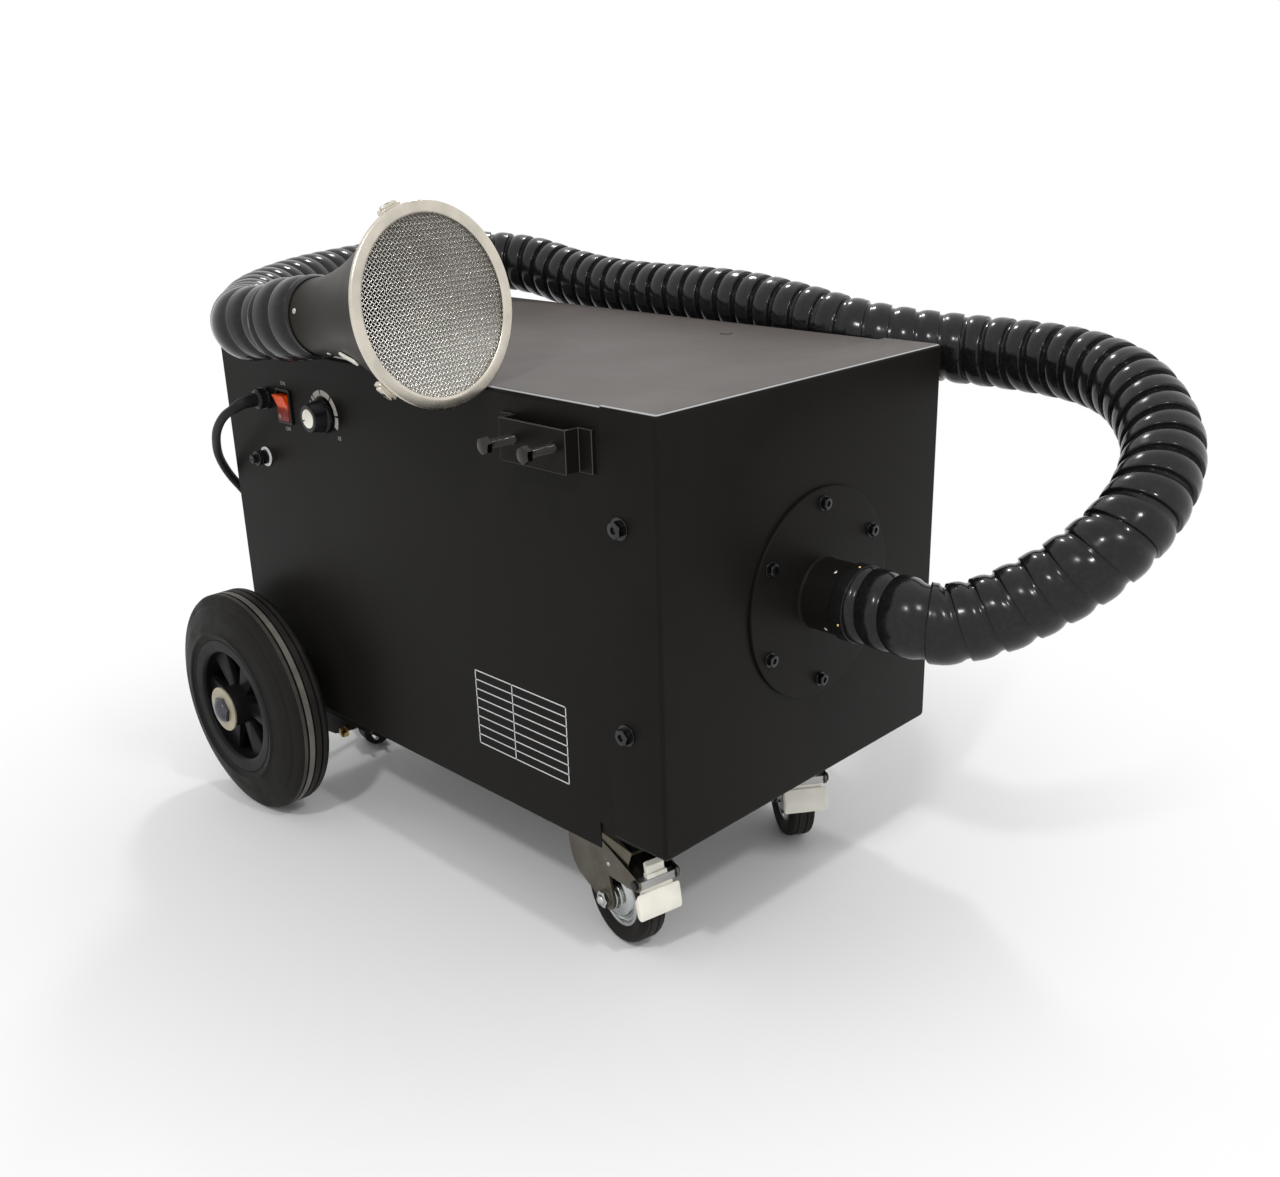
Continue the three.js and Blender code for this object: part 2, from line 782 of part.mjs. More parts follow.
// The switch, the speed knob, the fuse holder and the cord's gland, on the near wall
function controls() {
  const group = new THREE.Group();
  const face = wallY;
  const proud = (profile, sides, x, z) => turned(profile, '-y', sides).translate(x, face, z);

  const half = [bezelWidth / 2, bezelHeight / 2];
  const bezel = joined(
    block(
      [rockerX - half[0], rockerX + half[0]], [face - gap - bezelProud, face - gap],
      [controlHeight - half[1], controlHeight + half[1]]
    ),
    block([
      rockerX - half[0] + overrun, rockerX + half[0] - overrun
    ], [face - gap - bezelProud / 2, face + switchBodyDepth],
      [controlHeight - half[1] + overrun, controlHeight + half[1] - overrun])
  );
  const pocket = block(
    [rockerX - rockerWidth / 2 - rockerPlay, rockerX + rockerWidth / 2 + rockerPlay],
    [face - bezelProud - overrun, face + rockerDepth + 2 * overrun],
    [controlHeight - rockerHeight / 2 - rockerPlay, controlHeight + rockerHeight / 2 + rockerPlay]);
  group.add(piece('rocker_bezel', cut(bezel, pocket), blackPlastic));

  const tilt = rad(rockerTiltDegrees);
  const reach = rockerHeight / 2 * Math.cos(tilt);
  const rise = rockerHeight / 2 * Math.tan(tilt);
  const rockerOutline = polygon([
    [-rockerDepth, -reach * lipShare], [rockerProud + rise, -reach], [rockerProud, 0],
    [rockerProud + rise, reach], [-rockerDepth, reach * lipShare]
  ].map(([out, z]) => [-out, z]));
  const rocker = piece('rocker', swept(rockerOutline, 'x', -rockerWidth / 2, rockerWidth / 2), redPlastic);
  rocker.position.set(rockerX, face, controlHeight);
  rocker.rotation.x = tilt;
  group.add(rocker);

  const knobBody = turned([
    [0, gap], [knobRadius, gap], [knobRadius, knobSkirt], [knobRadius - knobMark, knobSkirt + knobMark],
    [knobTopRadius, knobProud], [knobCapRadius + gap, knobProud],
    [knobCapRadius + gap, knobProud - knobCapThickness], [0, knobProud - knobCapThickness]
  ], '-y', middleSides).translate(knobX, face, controlHeight);
  const knobShaftRod = proud(
    rodProfile(knobShaft, -knobShaftLength, knobSkirt), boltSides, knobX, controlHeight
  );
  const markSlot = block([
    knobX - knobRadius, knobX - knobTopRadius + knobMark
  ], [face - knobProud - overrun, face - knobSkirt],
    [controlHeight - knobMark / 2, controlHeight + knobMark / 2]);
  group.add(piece('speed_knob', cut(joined(knobBody, knobShaftRod), markSlot), blackPlastic));
  group.add(piece('knob_cap',
    proud(
      rodProfile(knobCapRadius, knobProud - knobCapThickness + gap, knobProud + gap), middleSides, knobX,
      controlHeight
    ),
    creamPaint));

  const holder = proud([
    [0, -fuseBarrelTail], [fuseBarrelRadius, -fuseBarrelTail], [fuseBarrelRadius, gap],
    [fuseRingRadius, gap],
    [fuseRingRadius, gap + fuseRing], [fuseBarrelRadius, gap + fuseRing],
    [fuseBarrelRadius, fuseBarrelProud],
    [fuseBore, fuseBarrelProud], [fuseBore, fuseBarrelProud - fuseCapStem - gap],
    [0, fuseBarrelProud - fuseCapStem - gap]
  ], smallSides, fuseX, fuseHeight);
  group.add(piece('fuse_holder', holder, blackPlastic));
  const cap = proud([
    [0, fuseBarrelProud - fuseCapStem], [fuseBore - gap, fuseBarrelProud - fuseCapStem],
    [fuseBore - gap, fuseBarrelProud + gap],
    [fuseCapHead, fuseBarrelProud + gap], [fuseCapHead, fuseBarrelProud + fuseCapProud],
    [0, fuseBarrelProud + fuseCapProud]
  ], smallSides, fuseX, fuseHeight);
  const slot = block([fuseX - fuseBore, fuseX + fuseBore], [
    face - fuseBarrelProud - fuseCapProud - overrun, face - fuseBarrelProud - fuseCapProud + fuseSlot
  ],
    [fuseHeight - fuseSlot / 2, fuseHeight + fuseSlot / 2]);
  group.add(piece('fuse_cap', cut(solidOf(cap), slot), castGrey));

  const glandBody = proud([
    [cordRadius + gap, -glandTail], [glandRadius - overrun, -glandTail], [glandRadius - overrun, gap],
    [glandCollarRadius, gap],
    [glandCollarRadius, gap + glandCollar], [glandRadius, gap + glandCollar],
    [glandRadius, glandLength * lipShare],
    [cordRadius + overrun, glandLength], [cordRadius + gap, glandLength]
  ], smallSides, glandX, glandHeight);
  group.add(piece('cable_gland', glandBody, blackPlastic));
  return group;
}

// A rolling profile turned so that it stands on a flat, at the named radius
function rolled(profile, sides) {
  const widen = 1 / Math.cos(Math.PI / sides);
  return turned(profile.map(([r, h]) => [r * widen, h]), 'y', sides, Math.PI / sides);
}

// A large wheel: tyre, spoked rim, and the washer and nut that hold it on the axle
function largeWheel(label, side) {
  const group = new THREE.Group();
  const half = wheelWidth / 2;
  const shoulder = wheelRadius - rimRadius;
  const treadHalf = half * treadShare;
  const bead = rimRadius + gap;
  const ridgeOut = wheelRidgeRadius + wheelRidgeWidth / 2;
  const flank = (sign) => [
    [bead, sign * (rimWidth / 2)], [wheelRidgeRadius, sign * half], [ridgeOut, sign * (half - wheelRidge)],
    [bead + shoulder * shoulderShare, sign * (half - wheelRidge / 2)],
    [wheelRadius - treadGroove / 3, sign * half * 0.78],
    [wheelRadius, sign * treadHalf]
  ];
  const tyre = rolled([...flank(-1), ...flank(1).reverse()], wheelSides);
  group.add(piece(`rear_tyre_${label}`, tyre, blackRubber));

  const barrel = turned(
    tubeProfile(rimRadius - rimWall, rimRadius, -rimWidth / 2, rimWidth / 2), 'y', wheelSides
  );
  const axleBore = holeRadius(axleRadius, smallSides);
  const hub = turned(tubeProfile(axleBore, hubRadius, -hubWidth / 2, hubWidth / 2), 'y', smallSides);
  const parts = [barrel, hub];
  const inward = hubRadius - overrun;
  const outward = rimRadius - rimWall + overrun;
  for (let i = 0; i < spokeCount; i++) {
    const turn = 2 * Math.PI * i / spokeCount;
    const rib = block(
      [inward, outward], [-spokeRibDepth / 2, spokeRibDepth / 2], [-spokeWidth / 2, spokeWidth / 2]
    );
    const web = swept(polygon([
      [inward, -spokeWidth], [outward, -spokeWidth * 1.9], [outward, spokeWidth * 1.9], [inward, spokeWidth]
    ]), 'y', -spokeWebThickness / 2, spokeWebThickness / 2);
    parts.push(rib.rotateY(turn), web.rotateY(turn));
  }
  group.add(piece(`rear_rim_${label}`, joined(...parts), blackPlastic));

  const washerFrom = hubWidth / 2 + gap;
  const nutFrom = washerFrom + hubWasher;
  const washer = turned(tubeProfile(axleBore, hubWasherRadius, washerFrom, nutFrom), 'y', middleSides);
  const nut = swept(
    hexagon(hubNutAcross), 'y', -nutFrom - hubNutHeight, -nutFrom + hubWasher / 2
  ).rotateZ(Math.PI);
  const dome = turned(
    tubeProfile(axleBore, hubNutAcross / 2 - overrun, nutFrom, nutFrom + hubNutHeight + hubNutDome), 'y',
    boltSides
  );
  const bore = turned(
    rodProfile(axleBore, washerFrom - overrun, nutFrom + hubNutHeight + hubNutDome + overrun), 'y',
    smallSides
  );
  const nutGeometry = geometryOf(cut(joined(washer, nut, dome), bore));
  if (side < 0) nutGeometry.rotateX(Math.PI);
  group.add(piece(`hub_nut_${label}`, nutGeometry, zinc));
  group.position.set(wheelX, side * (wheelInside + wheelOutside) / 2, wheelRadius);
  return group;
}

// The axle with a shoulder inside each wheel, and the two plates that carry it under the base
function rearAxle() {
  const group = new THREE.Group();
  const hubInside = hubOutside - hubWidth;
  const end = nutOutside - hubNutDome + axleTip / 2;
  const sleeve = shellHalf + gap;
  const profile = [
    [0, -end], [axleRadius, -end], [axleRadius, gap - hubInside], [axleCollarRadius, gap - hubInside],
    [axleCollarRadius, -sleeve],
    [axleRadius, -sleeve], [axleRadius, sleeve], [axleCollarRadius, sleeve],
    [axleCollarRadius, hubInside - gap],
    [axleRadius, hubInside - gap], [axleRadius, end], [0, end]
  ];
  const axle = piece('rear_axle', turned(profile, 'y', smallSides), castGrey);
  axle.position.set(wheelX, 0, wheelRadius);
  group.add(axle);
  const top = baseUnderside - gap;
  const low = baseUnderside - axleBracketDepth;
  const rear = wheelX - axleBracketRear;
  const front = rear + axleBracketLength;
  const outline = polygon(
    [
      [rear, top], [rear, low], [front - axleBracketFront, low], [front, low + axleBracketFront],
      [front, top]
    ]
  );
  for (const [label, side] of [['near', -1], ['far', 1]]) {
    const outer = side * (shellHalf - axleBracketInset);
    const inner = outer - side * axleBracketSheet;
    const foot = outer - side * (axleBracketSheet + axleBracketFoot);
    const plate = swept(outline, 'y', Math.min(outer, inner), Math.max(outer, inner));
    const flange = block(
      [rear, front], [Math.min(outer, foot), Math.max(outer, foot)], [top - axleBracketSheet, top]
    );
    const bore = swept(
      hole(axleRadius, wheelX, wheelRadius, smallSides), 'y', Math.min(outer, foot) - overrun,
      Math.max(outer, foot) + overrun
    );
    group.add(piece(`axle_bracket_${label}`, cut(joined(plate, flange), bore), blackPaint));
  }
  return group;
}

// A braked swivel caster. In its own frame the wheel trails towards +X from the swivel axis
function caster(label, side, turnDegrees) {
  const group = new THREE.Group();
  group.position.set(halfLength - casterFromFront, side * (halfWidth - casterFromSide), 0);
  const swivel = new THREE.Group();
  swivel.rotation.z = rad(turnDegrees);

  const plateTop = baseUnderside - gap;
  const raceBottom = crownTop + runGap;
  const crownBottom = crownTop - crownThickness;
  const half = [topPlateLength / 2, topPlateWidth / 2];
  const plate = joined(
    block([-half[0], half[0]], [-half[1], half[1]], [plateTop - topPlateThickness, plateTop]),
    turned([[0, raceBottom], [raceInner, raceBottom], [
      raceRadius, plateTop - topPlateThickness - raceHeight / 3
    ],
      [raceRadius, plateTop - topPlateThickness / 2],
      [0, plateTop - topPlateThickness / 2]], 'z', middleSides),
    turned(
      rodProfile(kingpinRadius, crownBottom - runGap - kingpinHeadHeight, plateTop - topPlateThickness),
      'z', smallSides
    ),
    turned(
      rodProfile(kingpinHead, crownBottom - runGap - kingpinHeadHeight, crownBottom - runGap), 'z',
      smallSides
    )
  );
  group.add(piece(`caster_plate_${label}`, plate, zinc));

  swivel.add(piece(`caster_fork_${label}`, casterFork(crownBottom), zinc));
  const wheel = new THREE.Group();
  wheel.position.set(casterTrail, 0, casterRadius);
  wheel.add(piece(`caster_tyre_${label}`, casterTyre(), blackRubber));
  wheel.add(piece(`caster_hub_${label}`, casterHub(), zinc));
  swivel.add(wheel);
  const bolt = piece(`caster_axle_${label}`, casterAxle(), zinc);
  bolt.position.copy(wheel.position);
  swivel.add(bolt);
  const pedal = piece(`brake_pedal_${label}`, brakePedal(), creamPaint);
  pedal.position.set(pedalPivotU, 0, pedalPivotZ);
  swivel.add(pedal);
  group.add(swivel);
  return group;
}

// The fork: a round crown, two swept cheeks, the brake's cover between them and its pivot pin
function casterFork(crownBottom) {
  const boss = hubBossRadius;
  const cheekShape = new THREE.Shape();
  cheekShape.moveTo(-crownRadius * 0.93, crownTop);
  cheekShape.lineTo(-crownRadius * 0.93, casterRadius * 1.75);
  cheekShape.quadraticCurveTo(
    -crownRadius * 0.86, casterRadius * 1.3, -crownRadius * 0.35, casterRadius * 1.1
  );
  cheekShape.lineTo(casterTrail - boss * 0.7, casterRadius - boss * 0.7);
  cheekShape.absarc(casterTrail, casterRadius, boss, -0.75 * Math.PI, 0.1 * Math.PI, false);
  cheekShape.lineTo(casterTrail + boss * 0.4, casterRadius + boss * 2.2);
  cheekShape.lineTo(pedalPivotU - pedalBarrel, pedalPivotZ - 1.9 * pedalBarrel);
  cheekShape.absarc(pedalPivotU, pedalPivotZ, pedalBarrel * 1.6, -0.6 * Math.PI, 0.45 * Math.PI, false);
  cheekShape.lineTo(crownRadius, crownTop - 4 * crownThickness);
  cheekShape.lineTo(crownRadius * 0.9, crownTop);
  const cheek = (sign) => {
    const faces = [sign * cheekOutside, sign * (cheekOutside - cheekSheet)].sort((a, b) => a - b);
    return swept(cheekShape, 'y', faces[0], faces[1], 4);
  };
  const crown = turned(rodProfile(crownRadius, crownBottom, crownTop), 'z', middleSides);
  const crownHole = turned(
    rodProfile(holeRadius(kingpinRadius, smallSides), crownBottom - overrun, crownTop + overrun), 'z',
    smallSides
  );
  const crownSides = block(
    [-crownRadius, crownRadius], [-cheekOutside - overrun, cheekOutside + overrun], [crownBottom, crownTop]
  );
  const crownRound = solidOf(crown).intersect(solidOf(crownSides));
  const coverEnd = pedalPivotU - 4 * pedalBarrel;
  const section = (x, lift, drop) => [
    [-cheekOutside + cheekSheet / 2, drop - crownThickness], [-cheekOutside + cheekSheet / 2, drop],
    [-hoodTopHalf, lift], [hoodTopHalf, lift],
    [cheekOutside - cheekSheet / 2, drop], [cheekOutside - cheekSheet / 2, drop - crownThickness],
    [hoodTopHalf, lift - crownThickness * 0.8], [-hoodTopHalf, lift - crownThickness * 0.8]
  ].map(([v, z]) => new THREE.Vector3(x, v, z));
  const start = section(kingpinHead + overrun, crownTop - gap, crownTop - 2 * crownThickness);
  const finishRing = section(coverEnd, crownTop - 4 * crownThickness, pedalPivotZ + pedalBarrel);
  const cover = coverSkin(start, finishRing);
  const pin = turned(
    rodProfile(pedalPin, -cheekOutside, cheekOutside), 'y', boltSides
  ).translate(pedalPivotU, 0, pedalPivotZ);
  const boltHole = turned(
    rodProfile(holeRadius(axleBoltRadius, smallSides), -cheekOutside - overrun, cheekOutside + overrun),
    'y', smallSides
  )
    .translate(casterTrail, 0, casterRadius);
  const fork = joined(cheek(-1), cheek(1), cover, pin).add(crownRound);
  return cut(fork, crownHole, boltHole);
}

// Two U-shaped sections joined into a folded cover
function coverSkin(start, end) {
  const count = start.length;
  const positions = [...start, ...end].flatMap((p) => [p.x, p.y, p.z]);
  const faces = [];
  for (let j = 0; j < count; j++) {
    const next = (j + 1) % count;
    faces.push(j, next, next + count, j, next + count, j + count);
  }
  const flat = start.map((p) => new THREE.Vector2(p.y, p.z));
  for (const corners of THREE.ShapeUtils.triangulateShape(flat, [])) {
    const turn = THREE.ShapeUtils.area(corners.map((i) => flat[i])) * THREE.ShapeUtils.area(flat);
    const [a, b, c] = turn > 0 ? corners : [...corners].reverse();
    faces.push(c, b, a, a + count, b + count, c + count);
  }
  return facingOut(positions, faces);
}

function casterTyre() {
  const half = casterWidth / 2;
  const bead = hubRimRadius + gap;
  const flank = (sign) => [
    [bead, sign * hubRimWidth / 2], [casterRadius * 0.88, sign * half],
    [casterRadius * 0.98, sign * half * 0.8], [casterRadius, sign * half * 0.55]
  ];
  return rolled([...flank(-1), ...flank(1).reverse()], casterSides);
}

function casterHub() {
  const steps = (sign) => [
    [holeRadius(axleBoltRadius, casterSides), sign * hubBossWidth / 2],
    [hubBossRadius, sign * hubBossWidth / 2], [hubBossRadius * 1.15, sign * hubStepWidth / 2],
    [hubStepRadius, sign * hubStepWidth / 2], [hubStepRadius * 1.15, sign * hubRimWidth * 0.3],
    [hubRimRadius * 0.88, sign * hubRimWidth / 2], [hubRimRadius, sign * hubRimWidth / 2]
  ];
  return turned([...steps(-1), ...steps(1).reverse()], 'y', casterSides);
}

// The wheel's bolt, with a hexagon head on one side and a domed nut on the other
function casterAxle() {
  const seat = cheekOutside + gap;
  const hex = (sign) => {
    const faces = [sign * seat, sign * (seat + axleBoltHead)].sort((a, b) => a - b);
    return swept(hexagon(axleBoltAcross), 'y', faces[0], faces[1]);
  };
  const dome = turned([[0, seat + axleBoltHead / 2], [axleBoltRadius, seat + axleBoltHead / 2], [
    axleBoltRadius, seat + axleBoltHead + axleBoltDome / 2
  ],
    [axleBoltRadius * 0.6, seat + axleBoltHead + axleBoltDome],
    [0, seat + axleBoltHead + axleBoltDome]], '-y', boltSides);
  return joined(
    turned(rodProfile(axleBoltRadius, -seat - overrun, seat + overrun), 'y', boltSides), hex(-1), hex(1),
    dome
  );
}

// The brake's pedal round its pivot: a broad foot pad below and a narrow release tab above
function brakePedal() {
  const inside = cheekOutside - cheekSheet - runGap;
  const barrel = turned(rodProfile(pedalBarrel, -inside, inside), 'y', smallSides);
  const drop = pedalPivotZ - casterRadius;
  const pad = new THREE.Shape();
  pad.moveTo(pedalBarrel * 0.9, -drop * 0.36);
  pad.lineTo(pedalBarrel * 2.2, -drop * 0.74);
  pad.quadraticCurveTo(pedalBarrel * 2.2, -drop * 0.92, pedalBarrel * 1.3, -drop * 0.9);
  pad.lineTo(pedalBarrel * 0.9, -drop * 0.82);
  pad.lineTo(-pedalBarrel * 0.35, -drop * 0.46);
  pad.quadraticCurveTo(-pedalBarrel * 0.4, -drop * 0.34, pedalBarrel * 0.9, -drop * 0.36);
  const strap = polygon([
    [-pedalThickness / 2 - pedalBarrel * 0.3, 0], [pedalThickness - pedalBarrel * 0.3, 0],
    [pedalBarrel * 0.7, -drop * 0.45], [0, -drop * 0.45]
  ]);
  const tab = polygon([
    [-pedalThickness, 0], [pedalThickness / 2, 0], [0, pedalBarrel * 3.4],
    [-pedalBarrel, pedalBarrel * 4.1], [-pedalBarrel * 1.3, pedalBarrel * 3.7]
  ]);
  const bore = turned(rodProfile(holeRadius(pedalPin), -pedalHalfWidth, pedalHalfWidth), 'y', boltSides);
  const whole = joined(barrel, swept(pad, 'y', -pedalHalfWidth, pedalHalfWidth, 4),
    swept(strap, 'y', -inside, inside), swept(tab, 'y', -tabHalfWidth, tabHalfWidth));
  return cut(whole, bore);
}

// The filter stage: the partition with its spigot, and the pleated cartridge that sits on it
function filterStage() {
  const group = new THREE.Group();
  const half = shellHalf - sheet - gap;
  const face = partitionFromRear - halfLength;
  const bottom = baseUnderside + sheet + gap;
  const top = shellTop - sheet - gap;
  const rimHalf = half - sheet - gap;
  const outside = block([face - partitionFlange, face], [-rimHalf, rimHalf], [bottom, top]);
  const inside = block(
    [face - partitionFlange - overrun, face - sheet], [sheet - rimHalf, rimHalf - sheet],
    [bottom + sheet, top - sheet]
  );
  const spigot = turned(
    tubeProfile(spigotRadius - sheet, spigotRadius, face - sheet / 2, face + spigotLength), 'x', roundSides
  )
    .translate(0, inletOffset, inletHeight);
  const mouth = turned(
    rodProfile(spigotRadius - sheet, face - sheet - overrun, face + spigotLength + overrun), 'x', roundSides
  )
    .translate(0, inletOffset, inletHeight);
  const board = cut(cut(solidOf(outside), inside).add(solidOf(spigot)), mouth);
  group.add(piece('partition', board, blackPaint));

  const pleats = new THREE.Shape(Array.from({ length: 2 * filterPleats }, (_, i) => {
    const radius = i % 2 ? filterInside : filterOutside;
    const turn = Math.PI * i / filterPleats;
    return new THREE.Vector2(radius * Math.cos(turn), radius * Math.sin(turn));
  }));
  pleats.holes.push(hole(filterCore, 0, 0, roundSides));
  const from = face + gap;
  const to = halfLength - filterFromFront;
  const body = swept(pleats, 'x', from + filterCap / 2, to - filterCap / 2, 10);
  const rearCap = turned(tubeProfile(filterBore, filterCapRadius, from, from + filterCap), 'x', roundSides);
  const frontCap = turned(rodProfile(filterCapRadius, to - filterCap, to), 'x', roundSides);
  const cartridge = piece('filter_cartridge', joined(body, rearCap, frontCap), filterPaper);
  cartridge.position.set(0, inletOffset, inletHeight);
  group.add(cartridge);
  return group;
}

// The outline of the blower's casing: a spiral that opens into a straight outlet at the top
function scrollOutline(inset) {
  const shape = new THREE.Shape();
  const steps = 20;
  for (let i = 0; i <= steps; i++) {
    const share = i / steps;
    const turn = Math.PI / 2 + share * 1.5 * Math.PI;
    const radius = scrollStart + scrollGrowth * share - inset;
    const point = [radius * Math.cos(turn), radius * Math.sin(turn)];
    if (i === 0) shape.moveTo(...point);
    else shape.lineTo(...point);
  }
  const right = scrollStart + scrollGrowth;
  return { shape, right };
}

// The blower: spiral casing, curved-blade impeller and the motor that carries it
function blower() {
  const group = new THREE.Group();
  const face = partitionFromRear - halfLength - sheet - gap;
  const back = face - scrollDepth;
  const outletTop = chamberHalf - scrollHeadroom;
  const casing = (inset, low, high, top) => {
    const { shape, right } = scrollOutline(inset);
    shape.lineTo(right - inset, top);
    shape.lineTo(inset, top);
    shape.lineTo(inset, scrollStart - inset);
    return swept(shape, 'x', low, high);
  };
  const outer = casing(0, back, face, outletTop);
  const inner = casing(scrollSheet, back + scrollSheet, face - scrollSheet, outletTop + overrun);
  const mouth = turned(
    rodProfile(scrollMouth, face - scrollSheet - overrun, face + overrun), 'x', roundSides
  );
  const motorHole = turned(
    rodProfile(scrollMotorHole, back - overrun, back + scrollSheet + overrun), 'x', middleSides
  );
  const scroll = piece('fan_scroll', cut(solidOf(outer), inner, mouth, motorHole), zinc);
  scroll.position.set(0, inletOffset, inletHeight);
  group.add(scroll);

  const impellerBack = back + (scrollDepth - impellerWidth) / 2;
  const impeller = piece('impeller', impellerSolid(), castGrey);
  impeller.position.set(impellerBack, inletOffset, inletHeight);
  group.add(impeller);

  const motorFace = back - gap;
  const fins = Array.from({ length: motorFinCount }, (_, i) =>
    block(
      [motorFace - motorLength * 0.8, motorFace - motorLength * 0.15], [0, motorRadius + motorFin],
      [-motorFinThickness / 2, motorFinThickness / 2]
    )
      .rotateX(2 * Math.PI * i / motorFinCount));
  const body = turned([
    [0, motorFace - motorLength], [motorRadius * 0.8, motorFace - motorLength],
    [motorRadius, motorFace - motorLength * 0.9],
    [motorRadius, motorFace - motorFlange], [motorFlangeRadius, motorFace - motorFlange],
    [motorFlangeRadius, motorFace],
    [0, motorFace]
  ], 'x', middleSides);
  const shaft = turned(
    rodProfile(shaftRadius, motorFace - motorFlange, impellerBack + impellerWidth * 0.7), 'x', boltSides
  );
  const motor = piece('motor', joined(body, shaft, ...fins), castGrey);
  motor.position.set(0, inletOffset, inletHeight);
  group.add(motor);
  return group;
}

// The impeller: a back disc with a hub, a front ring with the eye, and curved blades between them
function impellerSolid() {
  const shaftBore = holeRadius(shaftRadius, smallSides);
  const disc = turned(rodProfile(impellerRadius, 0, impellerDisc), 'x', roundSides);
  const ring = turned(
    tubeProfile(impellerEye, impellerRadius, impellerWidth - impellerDisc, impellerWidth), 'x', roundSides
  );
  const hub = turned(rodProfile(impellerHubRadius, 0, impellerWidth * 0.6), 'x', smallSides);
  const bore = turned(rodProfile(shaftBore, -overrun, impellerWidth * 0.6 + overrun), 'x', smallSides);
  const bladeSteps = 3;
  const sweep = rad(42);
  const line = (offset) => Array.from({ length: bladeSteps + 1 }, (_, i) => {
    const share = i / bladeSteps;
    const radius = impellerEye - overrun + (impellerRadius - impellerEye) * share;
    const turn = -sweep * share * share;
    return [
      radius * Math.cos(turn) - offset * Math.sin(turn - sweep / 2),
      radius * Math.sin(turn) + offset * Math.cos(turn - sweep / 2)
    ];
  });
  const bladeOutline = [...line(0), ...line(impellerBladeThickness).reverse()];
  const blades = Array.from({ length: impellerBladeCount }, (_, i) =>
    swept(polygon(bladeOutline), 'x', impellerDisc / 2, impellerWidth - impellerDisc / 2)
      .rotateX(2 * Math.PI * i / impellerBladeCount));
  return cut(joined(disc, ring, hub, ...blades), bore);
}

// The hood in its own frame: +Z points out of its mouth and zero is the ring's front face
function hood() {
  const group = new THREE.Group();
  const forward = new THREE.Vector3(...hoodForwardShare).normalize();
  const side = new THREE.Vector3().crossVectors(Z, forward).normalize();
  const upward = new THREE.Vector3().crossVectors(forward, side);
  group.quaternion.setFromRotationMatrix(new THREE.Matrix4().makeBasis(side, upward, forward));
  group.position.set(...hoodCentre);

  const wrapInside = hoodRingRadius - hoodWall;
  const ringBody = turned([
    [hoodRingInside, 0], [hoodRingRadius, 0], [hoodRingRadius, -hoodRingWrap], [wrapInside, -hoodRingWrap],
    [wrapInside, -hoodRingThickness], [hoodRingInside, -hoodRingThickness]
  ], 'z', largeSides);
  const tabs = hoodTabTurns.map((turn) =>
    block(
      [hoodRingRadius - hoodWall / 2, hoodRingRadius + hoodTabReach], [-hoodTabWidth / 2, hoodTabWidth / 2],
      [-hoodRingThickness - hoodTabDepth, -hoodRingThickness]
    )
      .rotateZ(Math.PI / 2 - rad(turn)));
  group.add(piece('hood_ring', joined(ringBody, ...tabs), stainless));

  const netFront = -hoodRingThickness - gap;
  const netBack = netFront - hoodMeshThickness;
  const reach = hoodRingInside - hoodMeshWire;
  const count = Math.floor(reach / hoodMeshPitch);
  const open = (hoodMeshPitch - hoodMeshWire) / 2;
  const holes = [];
  for (let i = -count; i <= count; i++) {
    for (let j = -count; j <= count; j++) {
      const [cx, cy] = [i * hoodMeshPitch, j * hoodMeshPitch];
      if (Math.hypot(Math.abs(cx) + open, Math.abs(cy) + open) < reach) {
        holes.push(
          block([cx - open, cx + open], [cy - open, cy + open], [netBack - overrun, netFront + overrun])
        );
      }
    }
  }
  const disc = turned(rodProfile(hoodMeshRadius, netBack, netFront), 'z', largeSides);
  group.add(piece('hood_mesh', cut(solidOf(disc), ...holes), stainless));

  const coneFront = netFront - hoodMeshThickness - gap;
  const mouthRadius = wrapInside - gap;
  const neckFrom = -hoodConeLength;
  const neckEnd = neckFrom - hoodNeckLength;
  const cone = turned([
    [mouthRadius, coneFront], [mouthRadius, -hoodRingWrap], [hoodNeckRadius, neckFrom],
    [hoodNeckRadius, neckEnd],
    [hoodNeckRadius - hoodWall, neckEnd], [hoodNeckRadius - hoodWall, neckFrom],
    [mouthRadius - hoodWall, -hoodRingWrap], [mouthRadius - hoodWall, coneFront]
  ], 'z', largeSides);
  group.add(piece('hood_cone', cone, blackPaint));
  return { group, forward, neckEnd };
}

